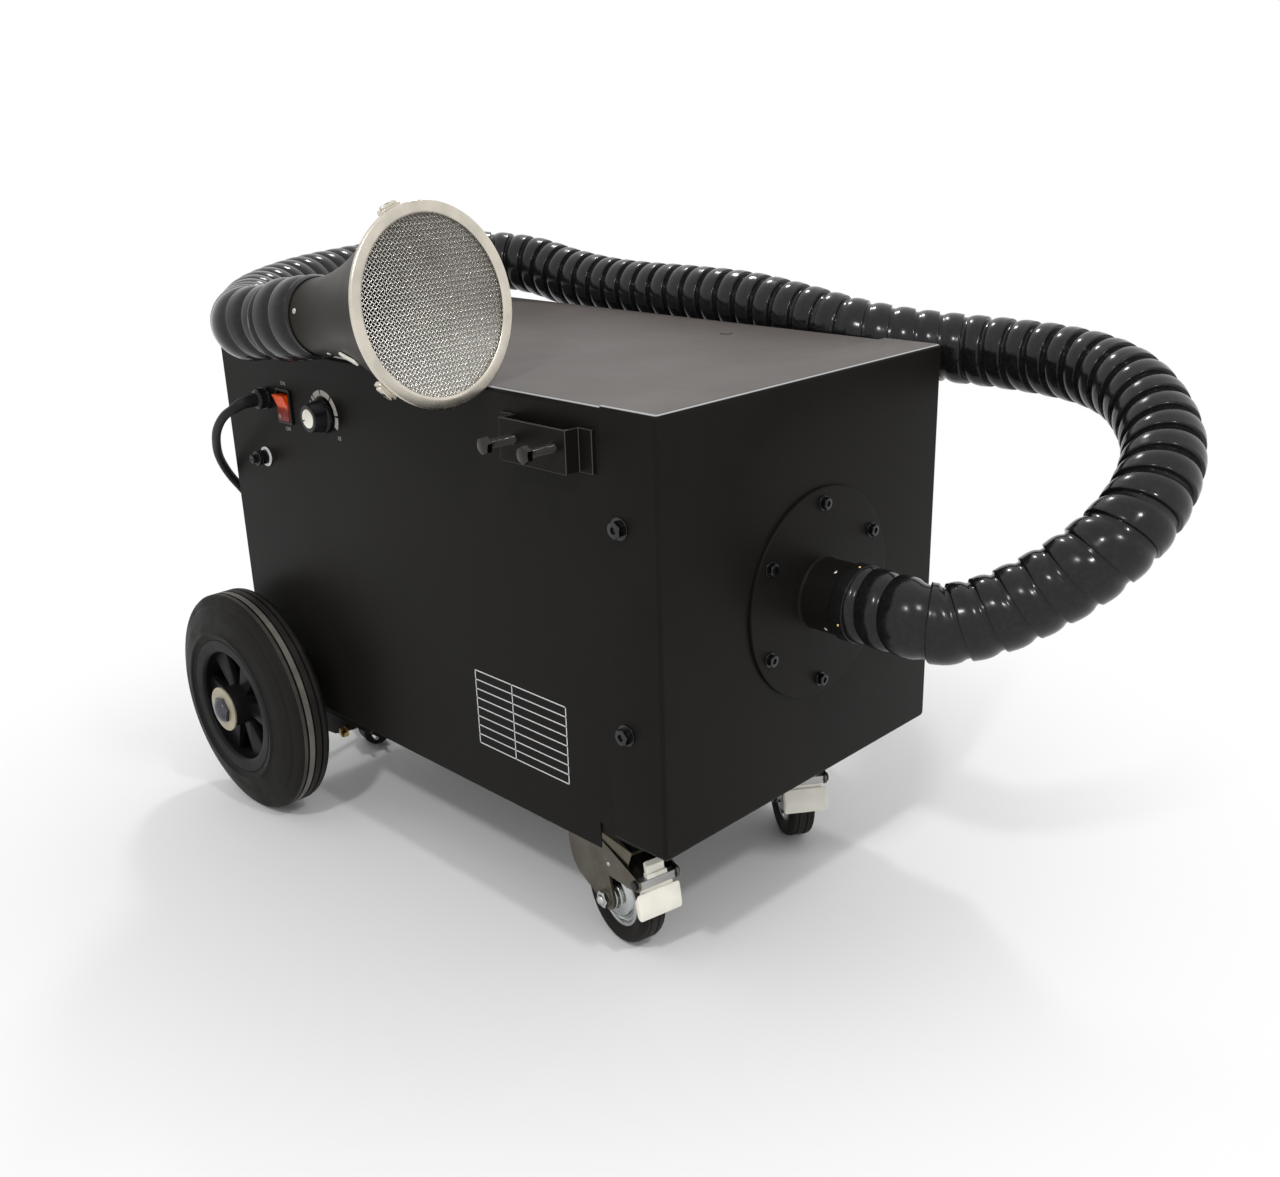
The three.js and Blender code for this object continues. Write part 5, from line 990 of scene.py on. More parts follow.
class EXTRACTOR_OT_mains(bpy.types.Operator):
    """Makes the mains cord with its coil, tie and plug"""

    bl_idname = "extractor.mains"
    bl_label = "Mains cord"

    def execute(self, context):
        coil, tail = coil_line()
        arriving = unit(coil[0] - coil[1])
        joint = coil[0] + 0.3 * arriving
        free = dense(at([GLAND_MOUTH, *CORD_ROUTE, joint + 30.9 * arriving, joint]), 4 * MM)
        line = np.vstack([free, self.finer(at(coil)), at(tail)])
        cord = surface("mains_cord", [tube(line, CORD_RADIUS, CORD_SIDES, -Y)], ["cable"])
        mount(cord, "root", "black_rubber", "power_cord", "cord_coil")
        plug = self.plug(at(tail[-1]), unit((tail[-1] - tail[-2]) * (1, 1, 0)))
        tie = self.tie(coil)
        relief = self.relief(free)
        return {"FINISHED"}

    def finer(self, coil):
        """The coil with a point halfway between each two, moved out to the turn's own radius."""
        middle = (coil[1:] + coil[:-1]) / 2
        centre = at((*COIL_CENTRE, 0))[:2]
        reach = np.linalg.norm(coil[:, :2] - centre, axis=1)
        wanted = (reach[1:] + reach[:-1]) / 2
        flat = middle[:, :2] - centre
        middle[:, :2] = centre + flat * (wanted / np.linalg.norm(flat, axis=1))[:, None]
        line = np.empty((2 * len(coil) - 1, 3))
        line[::2], line[1::2] = coil, middle
        return line

    def plug(self, end, axis):
        """A round plug with a ribbed relief and two pins."""
        rings = np.linspace(0, 1, 49)
        ridge = 0.45 * (np.cos(2 * math.pi * RELIEF_RIDGES * rings) - 1)
        relief = np.stack([5 + 2.2 * rings + ridge * (rings < 0.99), 0.3 + RELIEF_LENGTH * rings], 1)
        start = RELIEF_LENGTH + 0.3
        body = rounded([
            (7, start), (0.8 * PLUG_RADIUS, start + 2), (PLUG_RADIUS - 0.2, start + 10),
            (PLUG_RADIUS - 0.9, start + 20), (PLUG_RADIUS - 0.2, start + PLUG_LENGTH),
            (0, start + PLUG_LENGTH)], 3)
        profile = np.vstack([[(0, 0.3)], relief, body[1:]])
        side = unit(np.cross(Z, axis))
        pin = rounded([(0, 0), (2.4, 0), (2.4, PIN_LENGTH), (0, PIN_LENGTH)], 1.6)
        pin[:, 1] += start + PLUG_LENGTH - 0.5
        patches = [revolve(profile, end, axis, 48)]
        patches += [revolve(pin, end + way * PIN_OFFSET * MM * side, axis, 20) for way in (-1, 1)]
        made = surface("mains_plug", patches, ["matt plastic", "zinc"], [0, 1, 1])
        return mount(made, "root", "black_rubber", "plug")

    def tie(self, coil):
        """A band of hook tape once round all the turns on the coil's near side."""
        inner = COIL_RADIUS - COIL_PITCH * COIL_TURNS / 2 - CORD_RADIUS
        outer = COIL_RADIUS + COIL_PITCH * COIL_TURNS / 2 + CORD_RADIUS
        low, high = 0.2, COIL_FLOOR + COIL_PITCH + CORD_RADIUS
        gap, thick = 0.35, 1.0
        middle = np.array([
            (inner - gap, low), (outer + gap, low), (outer + gap, high + gap), (inner - gap, high + gap)])
        swell = [(-thick, 0), (thick, 0), (thick, thick), (-thick, thick)]
        outside = rounded(middle + swell, 5, closed=True)
        inside = rounded(middle + [(0, 0.1), (0, 0.1), (0, 0), (0, 0)], 4.2, closed=True)
        centre = at((*COIL_CENTRE, 0))
        direction, width = unit((-1, -0.35, 0)), 8
        across = unit(np.cross(Z, direction))
        rows = []
        for section, offset in ((inside, -width), (outside, -width), (outside, width), (inside, width)):
            rows.append(centre + MM * (
                section[:, :1] * direction + section[:, 1:] * Z + offset * across))
        made = surface("coil_tie", [grid(np.stack(rows), round_rows=True)], ["cable"])
        return mount(made, "root", "black_rubber")

    def relief(self, free):
        """A tapered rubber sleeve on the cord where it leaves the gland."""
        line = free[:8]
        run = lengths(line) / MM
        radius = 7.4 - 2.2 * run / run[-1] - 0.35 * (np.arange(len(line)) % 2)
        made = surface("cord_relief", [tube(line, radius, 24, -Y)], ["matt plastic"])
        return mount(made, "root", "black_rubber")


class EXTRACTOR_OT_hood(bpy.types.Operator):
    """Makes the hood: its ring with tabs and rivets, its net and its cone"""

    bl_idname = "extractor.hood"
    bl_label = "Hood"

    def execute(self, context):
        sizes = context.scene.extractor_sizes
        self.rim(sizes.round_sides)
        self.net(sizes)
        self.cone(sizes.round_sides)
        self.fixings(sizes)
        return {"FINISHED"}

    def rim(self, sides):
        """A flat ring that wraps back round the cone's edge, with three folded tabs and their
        rivets, and three small rivets on its face."""
        section = rounded([
            (HOOD_OPEN, -0.6), (HOOD_OPEN + 2, 0), (HOOD_RING, 0), (HOOD_RING, -HOOD_WRAP),
            (HOOD_RING - RING_WALL, -HOOD_WRAP), (HOOD_RING - RING_WALL, -2.6), (HOOD_OPEN, -2.6)],
            [0.5, 0.8, 1.6, 0.4, 0.3, 0.8, 0.4], 5, closed=True)
        centre = in_hood(0, 0, 0)
        patches = [revolve(section, centre, HOOD_FORWARD, sides, closed=True)]
        tab = rounded([(-10, -11), (10, -11), (10, -3.2), (-10, -3.2)], 1.5, closed=True)
        lip = rounded([(-8, -9.5), (8, -9.5), (8, -4.5), (-8, -4.5)], 2, closed=True)
        outs = [round_hood(turn) for turn in HOOD_TAB_TURNS]
        for out in outs:
            along = np.cross(HOOD_FORWARD, out)
            for outline, low, high, soft in ((tab, -2.4, 1.2, 0.4), (lip, 1.0, 3.6, 0.8)):
                patches.append(slab(
                    outline, centre, along, HOOD_FORWARD, out, HOOD_RING + low, HOOD_RING + high, soft))
        parts = [0] * len(patches) + [1] * len(outs) + [0] * len(HOOD_RIVET_TURNS)
        for out in outs:
            patches.append(rivet(in_hood(0, 0, -7) + (HOOD_RING + 3.5) * MM * out, out, 2.2, 0.4))
        for turn in HOOD_RIVET_TURNS:
            place = in_hood(0, 0, -0.1) + HOOD_RIVET_RADIUS * MM * round_hood(turn)
            patches.append(rivet(place, HOOD_FORWARD, 1.9, 0.1))
        made = surface("hood_rim", patches, ["stainless", "black steel"], parts)
        stand_for(made, "hood_ring")

    def net(self, sizes):
        """Woven wires both ways: height = wire / 2 * cos(pi * place / pitch), turned over wire by
        wire. A wire is a four sided tube from rim to rim; those of the first way are the thicker."""
        pitch = sizes.net_pitch
        reach = (HOOD_OPEN + 3.5) * MM
        count = int(reach / pitch)
        turn = math.radians(NET_TURN)
        across = math.cos(turn) * HOOD_SIDE + math.sin(turn) * HOOD_UP
        along = math.cos(turn) * HOOD_UP - math.sin(turn) * HOOD_SIDE
        centre = in_hood(0, 0, -4.3)
        patches = []
        for first, second, over, half in (
                (across, along, 1, sizes.net_wire / 2), (along, across, -1, 0.36 * sizes.net_wire)):
            corners = half * np.array([(1, 0), (0, 1), (-1, 0), (0, -1)])
            ring_of = corners[:, :1] * second + corners[:, 1:] * HOOD_FORWARD
            for k in range(-count, count + 1):
                place = (k + 0.5) * pitch
                if abs(place) >= reach * 0.995:
                    continue
                length = math.sqrt(reach**2 - place**2)
                run = np.arange(-length, length, pitch / 3)
                height = over * (-1) ** k * sizes.net_wire / 2 * np.cos(math.pi * run / pitch)
                line = centre + run[:, None] * first + place * second + height[:, None] * HOOD_FORWARD
                patches.append(grid(line[:, None] + ring_of[None], caps=(True, True)))
        band = ring_section(HOOD_OPEN + 2.5, HOOD_OPEN + 6, -5.2, -3.3, 0.3)
        patches.append(revolve(band, in_hood(0, 0, 0), HOOD_FORWARD, 96, closed=True))
        made = surface("hood_net", patches, ["wire"], sharp=math.pi)
        stand_for(made, "hood_mesh")

    def cone(self, sides):
        """A flared cone on a straight neck, black outside and bare inside."""
        centre = in_hood(0, 0, 0)
        forward = np.linspace(HOOD_FLARE_START, -HOOD_WRAP - 0.2, 34)
        outside = np.stack([flare_at(forward), forward], 1)
        front = [(80.6, -2.9), (79.4, -2.9)]
        outer = np.vstack([[(HOOD_NECK, NECK_END)], outside, front[:1]])
        inner = np.vstack([
            front[1:], outside[::-1] - (CONE_WALL, 0), [(HOOD_NECK - CONE_WALL, NECK_END)]])
        lines = (outer, inner, [outer[-1], inner[0]], [inner[-1], outer[0]])
        patches = [revolve(line, centre, HOOD_FORWARD, sides) for line in lines]
        stand_for(surface("hood_body", patches, ["hood paint", "lining"], [0, 1, 1, 0]), "hood_cone")

    def fixings(self, sizes):
        """The hose's last turns over the neck, rivets in front of them, and a pale spring clip on
        the cone's flank."""
        reach = np.linspace(NECK_END, -157, 66)[:, None]
        line = in_hood(0, 0, 0) + MM * reach * HOOD_FORWARD
        profile = np.array(HOSE_PROFILE) + (0, 3.2)
        patches = wound_tube(
            line, sizes.hose_pitch / MM, profile, HOSE_COLUMNS, HOOD_NECK + 1.2, 5, HOOD_NECK + 0.2)
        mount(surface("hose_end", patches, ["hose"], sharp=LIP_SHARP), "root", "hose_plastic")
        heads = [rivet(*on_hood(turn, forward), 2.6, 1.0, 20) for turn, forward in NECK_RIVETS]
        mount(surface("neck_rivets", heads, ["zinc"]), "root", "zinc")
        start, out = on_hood(CLIP_TURN, CLIP_BACK, 0.3)
        growth = flare_at(CLIP_FRONT) - flare_at(CLIP_BACK)
        along = unit(growth * out + (CLIP_FRONT - CLIP_BACK) * HOOD_FORWARD)
        side = np.cross(HOOD_FORWARD, out)
        lift = np.cross(side, along) * np.sign(np.cross(side, along) @ out)
        outline = rounded(
            [(0, -2.4), (CLIP_LENGTH, -2.9), (CLIP_LENGTH, 2.9), (0, 2.4)], 1.6, closed=True)
        clip = slab(outline, start, along, side, lift, 0.1, 2.0, 0.6)
        mount(surface("hood_clip", [clip], ["cream"]), "root", "cream_paint")


# The pan's bends round its front and along its sides, and where its lower lip ends
FRONT_BEND = 3.5
SIDE_BEND = 5
LIP_BACK = 301
# The printed grid's edges, the width of its lines, and the share of it left of the middle line
GRID = (80.0, 205.5, 172.6, 248.0)
GRID_LINE = 1.1
GRID_SPLIT = 0.42


class EXTRACTOR_OT_cabinet(bpy.types.Operator):
    """Dresses the cabinet's shell, pan, base and rear panel"""

    bl_idname = "extractor.cabinet"
    bl_label = "Cabinet"

    def execute(self, context):
        dressed("cabinet_shell", "shell paint", 0.35)
        for node in ("base_pan", "rear_panel"):
            dressed(node, "paint", 0.35)
        self.pan()
        self.plate()
        return {"FINISHED"}

    def pan(self):
        """The front pan: a rounded rectangle carried along X, drawn in round its front edge by
        r * (1 - cos a) and closed there; its lower lip is shorter than its other flanges."""
        rows = np.concatenate([self.tray(0), self.tray(SHEET)[::-1]])
        made = surface("front_pan_dressed", [grid(rows, caps=(True, True))], ["pan paint"])
        stand_for(made, "front_pan")

    def tray(self, wall):
        """Rows of a tray's skin from its front to its back edge, a wall's thickness further in."""
        front_bend, side_bend, low = FRONT_BEND - wall, SIDE_BEND - wall, SKIRT + wall
        side, top, foot = HALF_WIDTH - wall - side_bend, LID - wall - side_bend, low + side_bend
        middles = np.array([(side, top), (-side, top), (-side, foot), (side, foot)])
        turn = np.linspace(0, math.pi / 2, 9) + np.arange(4)[:, None] * math.pi / 2
        arcs = np.stack([np.cos(turn), np.sin(turn)], 2)
        bend = np.linspace(math.pi / 2, 0, 7)
        inset = np.concatenate([front_bend * (1 - np.cos(bend)), [0]])
        ahead = np.concatenate([PAN_FRONT - wall - front_bend * (1 - np.sin(bend)), [PAN_BACK]])
        rows = []
        for drawn, x in zip(inset, ahead):
            y, z = (middles[:, None] + (side_bend - drawn) * arcs).reshape(-1, 2).T
            rows.append(np.stack([np.where(np.isclose(z, low) & (x < LIP_BACK), LIP_BACK, x), y, z], 1))
        return at(rows)

    def plate(self):
        """A plain ruled grid printed on the near wall: two columns and eight rows of thin lines."""
        left, right, low, high = GRID
        split, half = left + GRID_SPLIT * (right - left), GRID_LINE / 2
        lines = [(left, right, z, z) for z in np.linspace(low, high, 9)]
        lines += [(x, x, low, high) for x in (left, split, right)]
        wall = at((0, WALL_Y - PRINT_LIFT, 0))
        patches = []
        for x0, x1, z0, z1 in lines:
            corners = [(x0 - half, z0 - half), (x1 + half, z0 - half), (x1 + half, z1 + half),
                       (x0 - half, z1 + half)]
            patches.append(slab(corners, wall, X, Z, Y, 0, 0.1, 0.02, 1))
        made = surface("printed_grid", patches, ["white print"])
        mount(made, "root", "white_plastic")


FLANGE_DEPTH = 3
COLLAR_WALL = 1.6
CUFF_START, CUFF_END = 37, 50
BOLT_CIRCLE = 83.3
# Rivets by their turn and their place along the inlet
COLLAR_RIVETS = ((-26.4, 27.5), (-130.9, 26), (93.6, 27.5), (169.1, 26))
CUFF_RIVETS = ((-6.3, 45.5), (-106.8, 45.5), (120, 45.5))
# The cover bolts by side and height; all stand at the same place along the wall
COVER_BOLT_X = 283
COVER_BOLTS = {
    "cover_bolt_near_1": (-1, 427), "cover_bolt_near_2": (-1, 247), "cover_bolt_far_1": (1, 427),
    "cover_bolt_far_2": (1, 247)}


class EXTRACTOR_OT_inlet(bpy.types.Operator):
    """Makes the inlet's flange, collar, cuff and bolts, and the bolts of the cover"""

    bl_idname = "extractor.inlet"
    bl_label = "Inlet and bolts"

    def execute(self, context):
        centre, sides = at(INLET), context.scene.extractor_sizes.round_sides
        bore = COLLAR_RADIUS - COLLAR_WALL
        section = rounded([
            (bore, 0), (FLANGE_RADIUS, 0), (FLANGE_RADIUS, FLANGE_DEPTH), (COLLAR_RADIUS, FLANGE_DEPTH),
            (COLLAR_RADIUS, COLLAR_LENGTH), (bore, COLLAR_LENGTH)], [0.3, 0.3, 1.1, 3, 0.5, 0.4], 5,
            closed=True)
        flange = surface("inlet_plate", [revolve(section, centre, X, sides, closed=True)], ["paint"])
        stand_for(flange, "inlet_flange")
        cuff = ring_section(COLLAR_RADIUS + 0.3, COLLAR_RADIUS + CUFF_WALL, CUFF_START, CUFF_END, 0.9)
        made = surface("cuff", [revolve(cuff, centre, X, sides, closed=True)], ["plastic"])
        stand_for(made, "hose_cuff")
        heads = [self.head(*place, COLLAR_RADIUS, 2.3) for place in COLLAR_RIVETS]
        mount(surface("collar_rivets", heads, ["zinc"]), "root", "zinc")
        heads = [self.head(*place, COLLAR_RADIUS + CUFF_WALL, 1.5) for place in CUFF_RIVETS]
        mount(surface("cuff_rivets", heads, ["yellow zinc"]), "root", "zinc")
        for k in range(6):
            place = centre + MM * (FLANGE_DEPTH * X + BOLT_CIRCLE * ring(Y, Z, 12)[2 * k + 1])
            patches = bolt(place, X, 10, 4.5, 6.6, 1.2, 0.3 + 1.1 * k, 2.6)
            stand_for(surface(f"flange_screw_{k + 1}", patches, ["black steel"]), f"flange_bolt_{k + 1}")
        for k, (node, (way, height)) in enumerate(COVER_BOLTS.items()):
            place = at((COVER_BOLT_X, way * HALF_WIDTH, height))
            patches = bolt(place, way * Y, 13, 6, 9.5, 1.2, 0.5 + 0.8 * k, 3.1)
            stand_for(surface(node + "_dressed", patches, ["black steel"]), node)
        return {"FINISHED"}

    def head(self, turn, along, radius, size):
        """A rivet's head on a round piece of the inlet, at a turn from up towards the far side."""
        turn = math.radians(turn)
        out = math.cos(turn) * Z + math.sin(turn) * Y
        return rivet(at(INLET) + MM * (along * X + (radius - 0.1) * out), out, size, 0.9, 20)


# The clamp screws' places along the wall, and how far out and up their heads sit
CLAMP_PLACES = (177, 226)
CLAMP_OUT, CLAMP_UP = -234.75, 486.3


class EXTRACTOR_OT_clamp(bpy.types.Operator):
    """Makes the clamp bracket and its two long screws"""

    bl_idname = "extractor.clamp"
    bl_label = "Clamp"

    def execute(self, context):
        # The bracket's bevelled edges take a painted highlight
        dressed("clamp_bracket", "paint", 0.7, segments=3, edge_finish="edge highlight")
        for k, x in enumerate(CLAMP_PLACES):
            head = at((x, CLAMP_OUT, CLAMP_UP))
            patches = [hexagon_head(head, -Y, 13, 5.3, 0, 0.35 + 0.2 * k), thread(head, Y, 4, 1.25, 0.1, 36)]
            made = surface(f"clamp_bolt_{k + 1}", patches, ["screw steel"], sharp=math.radians(50))
            stand_for(made, f"clamp_screw_{k + 1}")
        return {"FINISHED"}


# The middles of the controls on the near wall
KNOB = (-134.5, WALL_Y, 460)
FUSE = (-256, WALL_Y, 399.5)
GLAND = (-242, WALL_Y, 464.5)
# How far the rocker's lower half, which carries its mark, faces up, in degrees
MARK_TILT = 11
# The fuse holder's sides, enough for its fluting
FUSE_SIDES = 144
# The knob's printed scale: where it starts and its stretches, each with its gap, in degrees, and
# the steps of a stretch
SCALE_START = 142
SCALE_STRETCHES = (12, 35, 44, 49, 34)
SCALE_GAP = 4.6
SCALE_STEPS = 14
# Printed words with their height, and their place along the wall and up
WORDS = (
    ("ON", 3.9, -206, 483.6), ("OFF", 3.9, -205, 436.2), ("0", 4.2, -156.5, 470.5),
    ("10", 4.4, -110.5, 440.2))


class EXTRACTOR_OT_controls(bpy.types.Operator):
    """Makes the switch, the speed knob with its printed scale, the fuse holder and the gland"""

    bl_idname = "extractor.controls"
    bl_label = "Controls"

    def execute(self, context):
        self.switch()
        self.knob()
        self.fuse()
        self.gland()
        self.marks()
        return {"FINISHED"}

    def switch(self):
        """The switch's frame and rocker, with a small ring printed on the rocker's lower half."""
        dressed("rocker_bezel", "plastic", 0.7, segments=3)
        dressed("rocker", "red", 0.8, segments=3)
        low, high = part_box("rocker")
        place = np.array([(low.x + high.x) / 2, low.y, low.z]) + MM * np.array([0, 1.35, 6.4])
        tilt = math.radians(MARK_TILT)
        out = np.array([0, -math.cos(tilt), math.sin(tilt)])
        mark = revolve(ring_section(1.5, 2.1, -0.3, 0.22, 0.1), place, out, 28, closed=True)
        mount(surface("rocker_mark", [mark], ["print"]), "rocker", "white_plastic")

    def knob(self):
        """A fluted skirt below a plain cone, and a pale disc with a pointer on top."""
        centre = at(KNOB)
        body = rounded([
            (0, 0.3), (17.5, 0.3), (17.5, 4), (15.9, 5.6), (13.4, 18.5), (9.8, 18.5), (9.8, 17.4),
            (0, 17.4)], [0, 0.5, 1.4, 0.8, 1.2, 0.3, 0.3, 0], 5)
        made = surface("knob", [fluted(body, centre, -Y, 30, 0.35, 6.4, 16.8, 180)], ["plastic"])
        stand_for(made, "speed_knob")
        disc = rounded([(0, 17.45), (9.5, 17.45), (9.5, 18.8), (0, 18.8)], 0.5, 4)
        turned = math.radians(200)
        along = math.cos(turned) * X + math.sin(turned) * Z
        pointer = slab(
            [(5.5, -0.7), (9.2, -0.7), (9.2, 0.7), (5.5, 0.7)], centre, along, np.cross(Y, along), -Y, 18.7,
            18.95, 0.1)
        disc = revolve(disc, centre, -Y, 64)
        stand_for(surface("knob_disc", [disc, pointer], ["cream", "plastic"], [0, 1]), "knob_cap")

    def fuse(self):
        """A white washer, a fluted barrel whose rings close on themselves, and the cap."""
        centre = at(FUSE)
        washer = ring_section(7.5, 10.5, 0.3, 1.9, 0.5)
        barrel = rounded([
            (5.4, 0.3), (7.6, 0.3), (7.6, 9), (8.0, 9.6), (8.0, 12.2), (7.2, 13), (5.4, 13)],
            [0, 0, 0.3, 0.3, 0.5, 0.4, 0.3], 4, closed=True)
        points, faces = fluted(barrel, centre, -Y, 24, 0.3, 9.5, 12.6, FUSE_SIDES)
        last = len(points) - FUSE_SIDES
        for j in range(FUSE_SIDES):
            after = (j + 1) % FUSE_SIDES
            faces.append([last + j, last + after, after, j])
        patches = [revolve(washer, centre, -Y, 72, closed=True), (points, faces)]
        made = surface("fuse_barrel", patches, ["white", "plastic"], [0, 1])
        stand_for(made, "fuse_holder")
        dressed("fuse_cap", "plastic", 0.4, segments=2)

    def gland(self):
        """A six sided collar and a fluted nut that narrows towards the cord."""
        centre = at(GLAND)
        collar = rounded([(0, 0.3), (12, 0.3), (12, 4.3), (0, 4.3)], 0.9, 4)
        body = rounded([(0, 4.2), (10.5, 4.2), (10.5, 11.5), (6.7, 14), (0, 14)], [0, 0.2, 1.6, 0.8, 0], 5)
        patches = [
            fluted(collar, centre, -Y, 6, 0.9, 0.5, 4.2, 96),
            fluted(body, centre, -Y, 18, 0.5, 4.3, 11, 144)]
        stand_for(surface("gland", patches, ["plastic"]), "cable_gland")

    def marks(self):
        """The scale round the knob in five stretches, and plain words beside the switch."""
        centre, turn, patches = at(KNOB), SCALE_START, []
        section = [(19.7, 0.02), (19.7, 0.14), (25.4, 0.14), (25.4, 0.02)]
        for stretch in SCALE_STRETCHES:
            a = np.radians(np.linspace(turn, turn - stretch + SCALE_GAP, SCALE_STEPS))
            spoke = np.cos(a)[:, None] * X + np.sin(a)[:, None] * Z
            rows = np.stack([centre + MM * (radius * spoke - high * Y) for radius, high in section])
            points, faces = grid(rows, round_columns=False, round_rows=True)
            faces += [[k * SCALE_STEPS + j for k in range(4)] for j in (0, SCALE_STEPS - 1)]
            patches.append((points, faces))
            turn -= stretch
        for word, height, x, z in WORDS:
            patches.append(lettering(word, height, at((x, WALL_Y, z)), X, Z, -Y))
        mount(surface("printed_scale", patches, ["print"]), "root", "white_plastic")


# The foot below an axle bracket: its outline, its inner face, its thickness, and its bolt
FOOT = [(-262, 103), (-262, 66), (-231, 69.5), (-222, 73), (-190, 88), (-178, 98), (-174, 103)]
FOOT_WALL = 158.6
FOOT_DEPTH = 5
FOOT_BOLT_X, FOOT_BOLT_Z = -206.7, 80.5
SIDES = (("near", -1), ("far", 1))


class EXTRACTOR_OT_wheels(bpy.types.Operator):
    """Makes the two large wheels with their nuts, the axle and its brackets"""

    bl_idname = "extractor.wheels"
    bl_label = "Large wheels"

    def execute(self, context):
        sides = context.scene.extractor_sizes.round_sides
        for end, way in SIDES:
            centre, axis = middle_of("rear_rim_" + end), way * Y
            self.tyre(end, centre, axis, sides)
            self.rim(end, centre, axis, sides)
            self.nut(end, centre, axis)
            dressed("axle_bracket_" + end, "paint", 0.6)
        dressed("rear_axle", "dull zinc", 0.5)
        for end, way in SIDES:
            patches = [slab(FOOT, at((0, FOOT_WALL * way, 0)), X, Z, way * Y, 0, FOOT_DEPTH, 0.8)]
            place = at((FOOT_BOLT_X, (FOOT_WALL + FOOT_DEPTH) * way, FOOT_BOLT_Z))
            patches += bolt(place, way * Y, 10, 5, 6, 1.2, 0.2)
            made = surface("bracket_foot_" + end, patches, ["paint", "yellow zinc"], [0, 1, 1])
            mount(made, "root", "black_paint")
        return {"FINISHED"}

    def tyre(self, end, centre, axis, sides):
        """An outer wall that slopes up to a ridge round the rim, and a flatter inner one; a tread of
        four bands between three grooves."""
        wall = rounded([
            (77.3, 28.2), (80.5, 28.8), (82.6, 31), (85.4, 31.4), (87.4, 29.4), (93, 28.2), (101, 26.6),
            (112, 22.6), (113.6, 21), (119, 19.2), (123.4, 16.6), (125, 13.6)], 2.2, 4)
        back = rounded([
            (77.3, 18.6), (99, 20.6), (112, 20.9), (120, 19.2), (124, 17.2), (125, 13.6)], 2.2, 4)
        lands = [(13.6, 9.6), (7.3, 1.1), (-1.1, -7.3), (-9.6, -13.6)]
        patches, parts = [revolve(wall, centre, axis, sides)], [0]
        for k, (high, low) in enumerate(lands):
            land = rounded([(125, high), (125.15, (high + low) / 2), (125, low)], 1, 3)
            patches.append(revolve(np.minimum(land, [[125, 99]]), centre, axis, sides))
            parts.append((3, 2, 1, 1)[k])
            if k < 3:
                after = lands[k + 1][0]
                groove = rounded(
                    [(125, low), (122.4, low - 0.5), (122.4, after + 0.5), (125, after)], 0.4, 2)
                patches.append(revolve(groove, centre, axis, sides))
                parts.append(0)
        patches += [
            revolve(back[::-1] * (1, -1), centre, axis, sides),
            revolve([(77.3, -18.6), (77.3, 28.2)], centre, axis, sides)]
        parts += [0, 0]
        finishes = ["rubber", "worn", "pale worn", "shoulder"]
        stand_for(surface("tyre_" + end, patches, finishes, parts), "rear_tyre_" + end)

    def rim(self, end, centre, axis, sides):
        """A deep barrel, a hub tube and six spokes, each a web with a rib along its middle."""
        barrel = rounded([
            (77, -19), (77, 28.6), (64, 27.4), (61.6, 24.6), (64.5, 9), (64.5, -3), (62, -14.6),
            (64, -17.6)], [0.6, 1.2, 1.6, 2, 2, 2, 2, 1.2], 4, closed=True)
        hub = rounded(
            [(10.2, -23), (24, -23), (22, 35.4), (10.2, 35.4)], [0.6, 1.6, 2.4, 0.8], 5, closed=True)
        patches = [
            revolve(barrel, centre, axis, sides, closed=True), revolve(hub, centre, axis, 72, closed=True)]
        web = rounded([(21, -7), (65, -17), (65, 17), (21, 7)], [0.5, 3, 3, 0.5], 4, closed=True)
        rib = rounded([(21, -13), (65, -10.5), (65, 12), (21, 12)], [0.5, 3, 3, 0.5], 4, closed=True)
        for out in ring(X, np.cross(axis, X), 6):
            across = np.cross(axis, out)
            patches.append(slab(web, centre, out, across, axis, 11, 18, 1.6))
            patches.append(slab(rib, centre, out, axis, across, -3.4, 3.4, 1.6))
        stand_for(surface("rim_" + end, patches, ["wheel plastic"]), "rear_rim_" + end)

    def nut(self, end, centre, axis):
        """A broad washer, a hexagon and the dome that closes it."""
        washer = rounded([(0, 35.6), (25, 35.6), (25, 38), (0, 38)], [0, 0.5, 0.5, 0], 4)
        a = np.linspace(0, math.pi / 2, 9)
        dome = np.stack([11.9 * np.cos(a), 41.5 + 5 * np.sin(a)], 1)
        patches = [
            revolve(washer, centre, axis, 72), hexagon_head(centre, axis, 26, 4.5, 38, 0.2, columns=72),
            revolve([(11.9, 40), *dome], centre, axis, 48)]
        finishes = ["washer", "dark chrome"]
        stand_for(surface("nut_" + end, patches, finishes, [0, 1, 1]), "hub_nut_" + end)


# From below the middle of a caster's plate, ahead and up: the brake's pivot and a cheek's rivet
PIVOT_AHEAD, PIVOT_UP = 87, 86
RIVET_AHEAD, RIVET_UP = 43, 86.6
# Half the width of the fork, and of the brake's cover on it
CHEEK = 21.9
COVER_HALF = 14.5


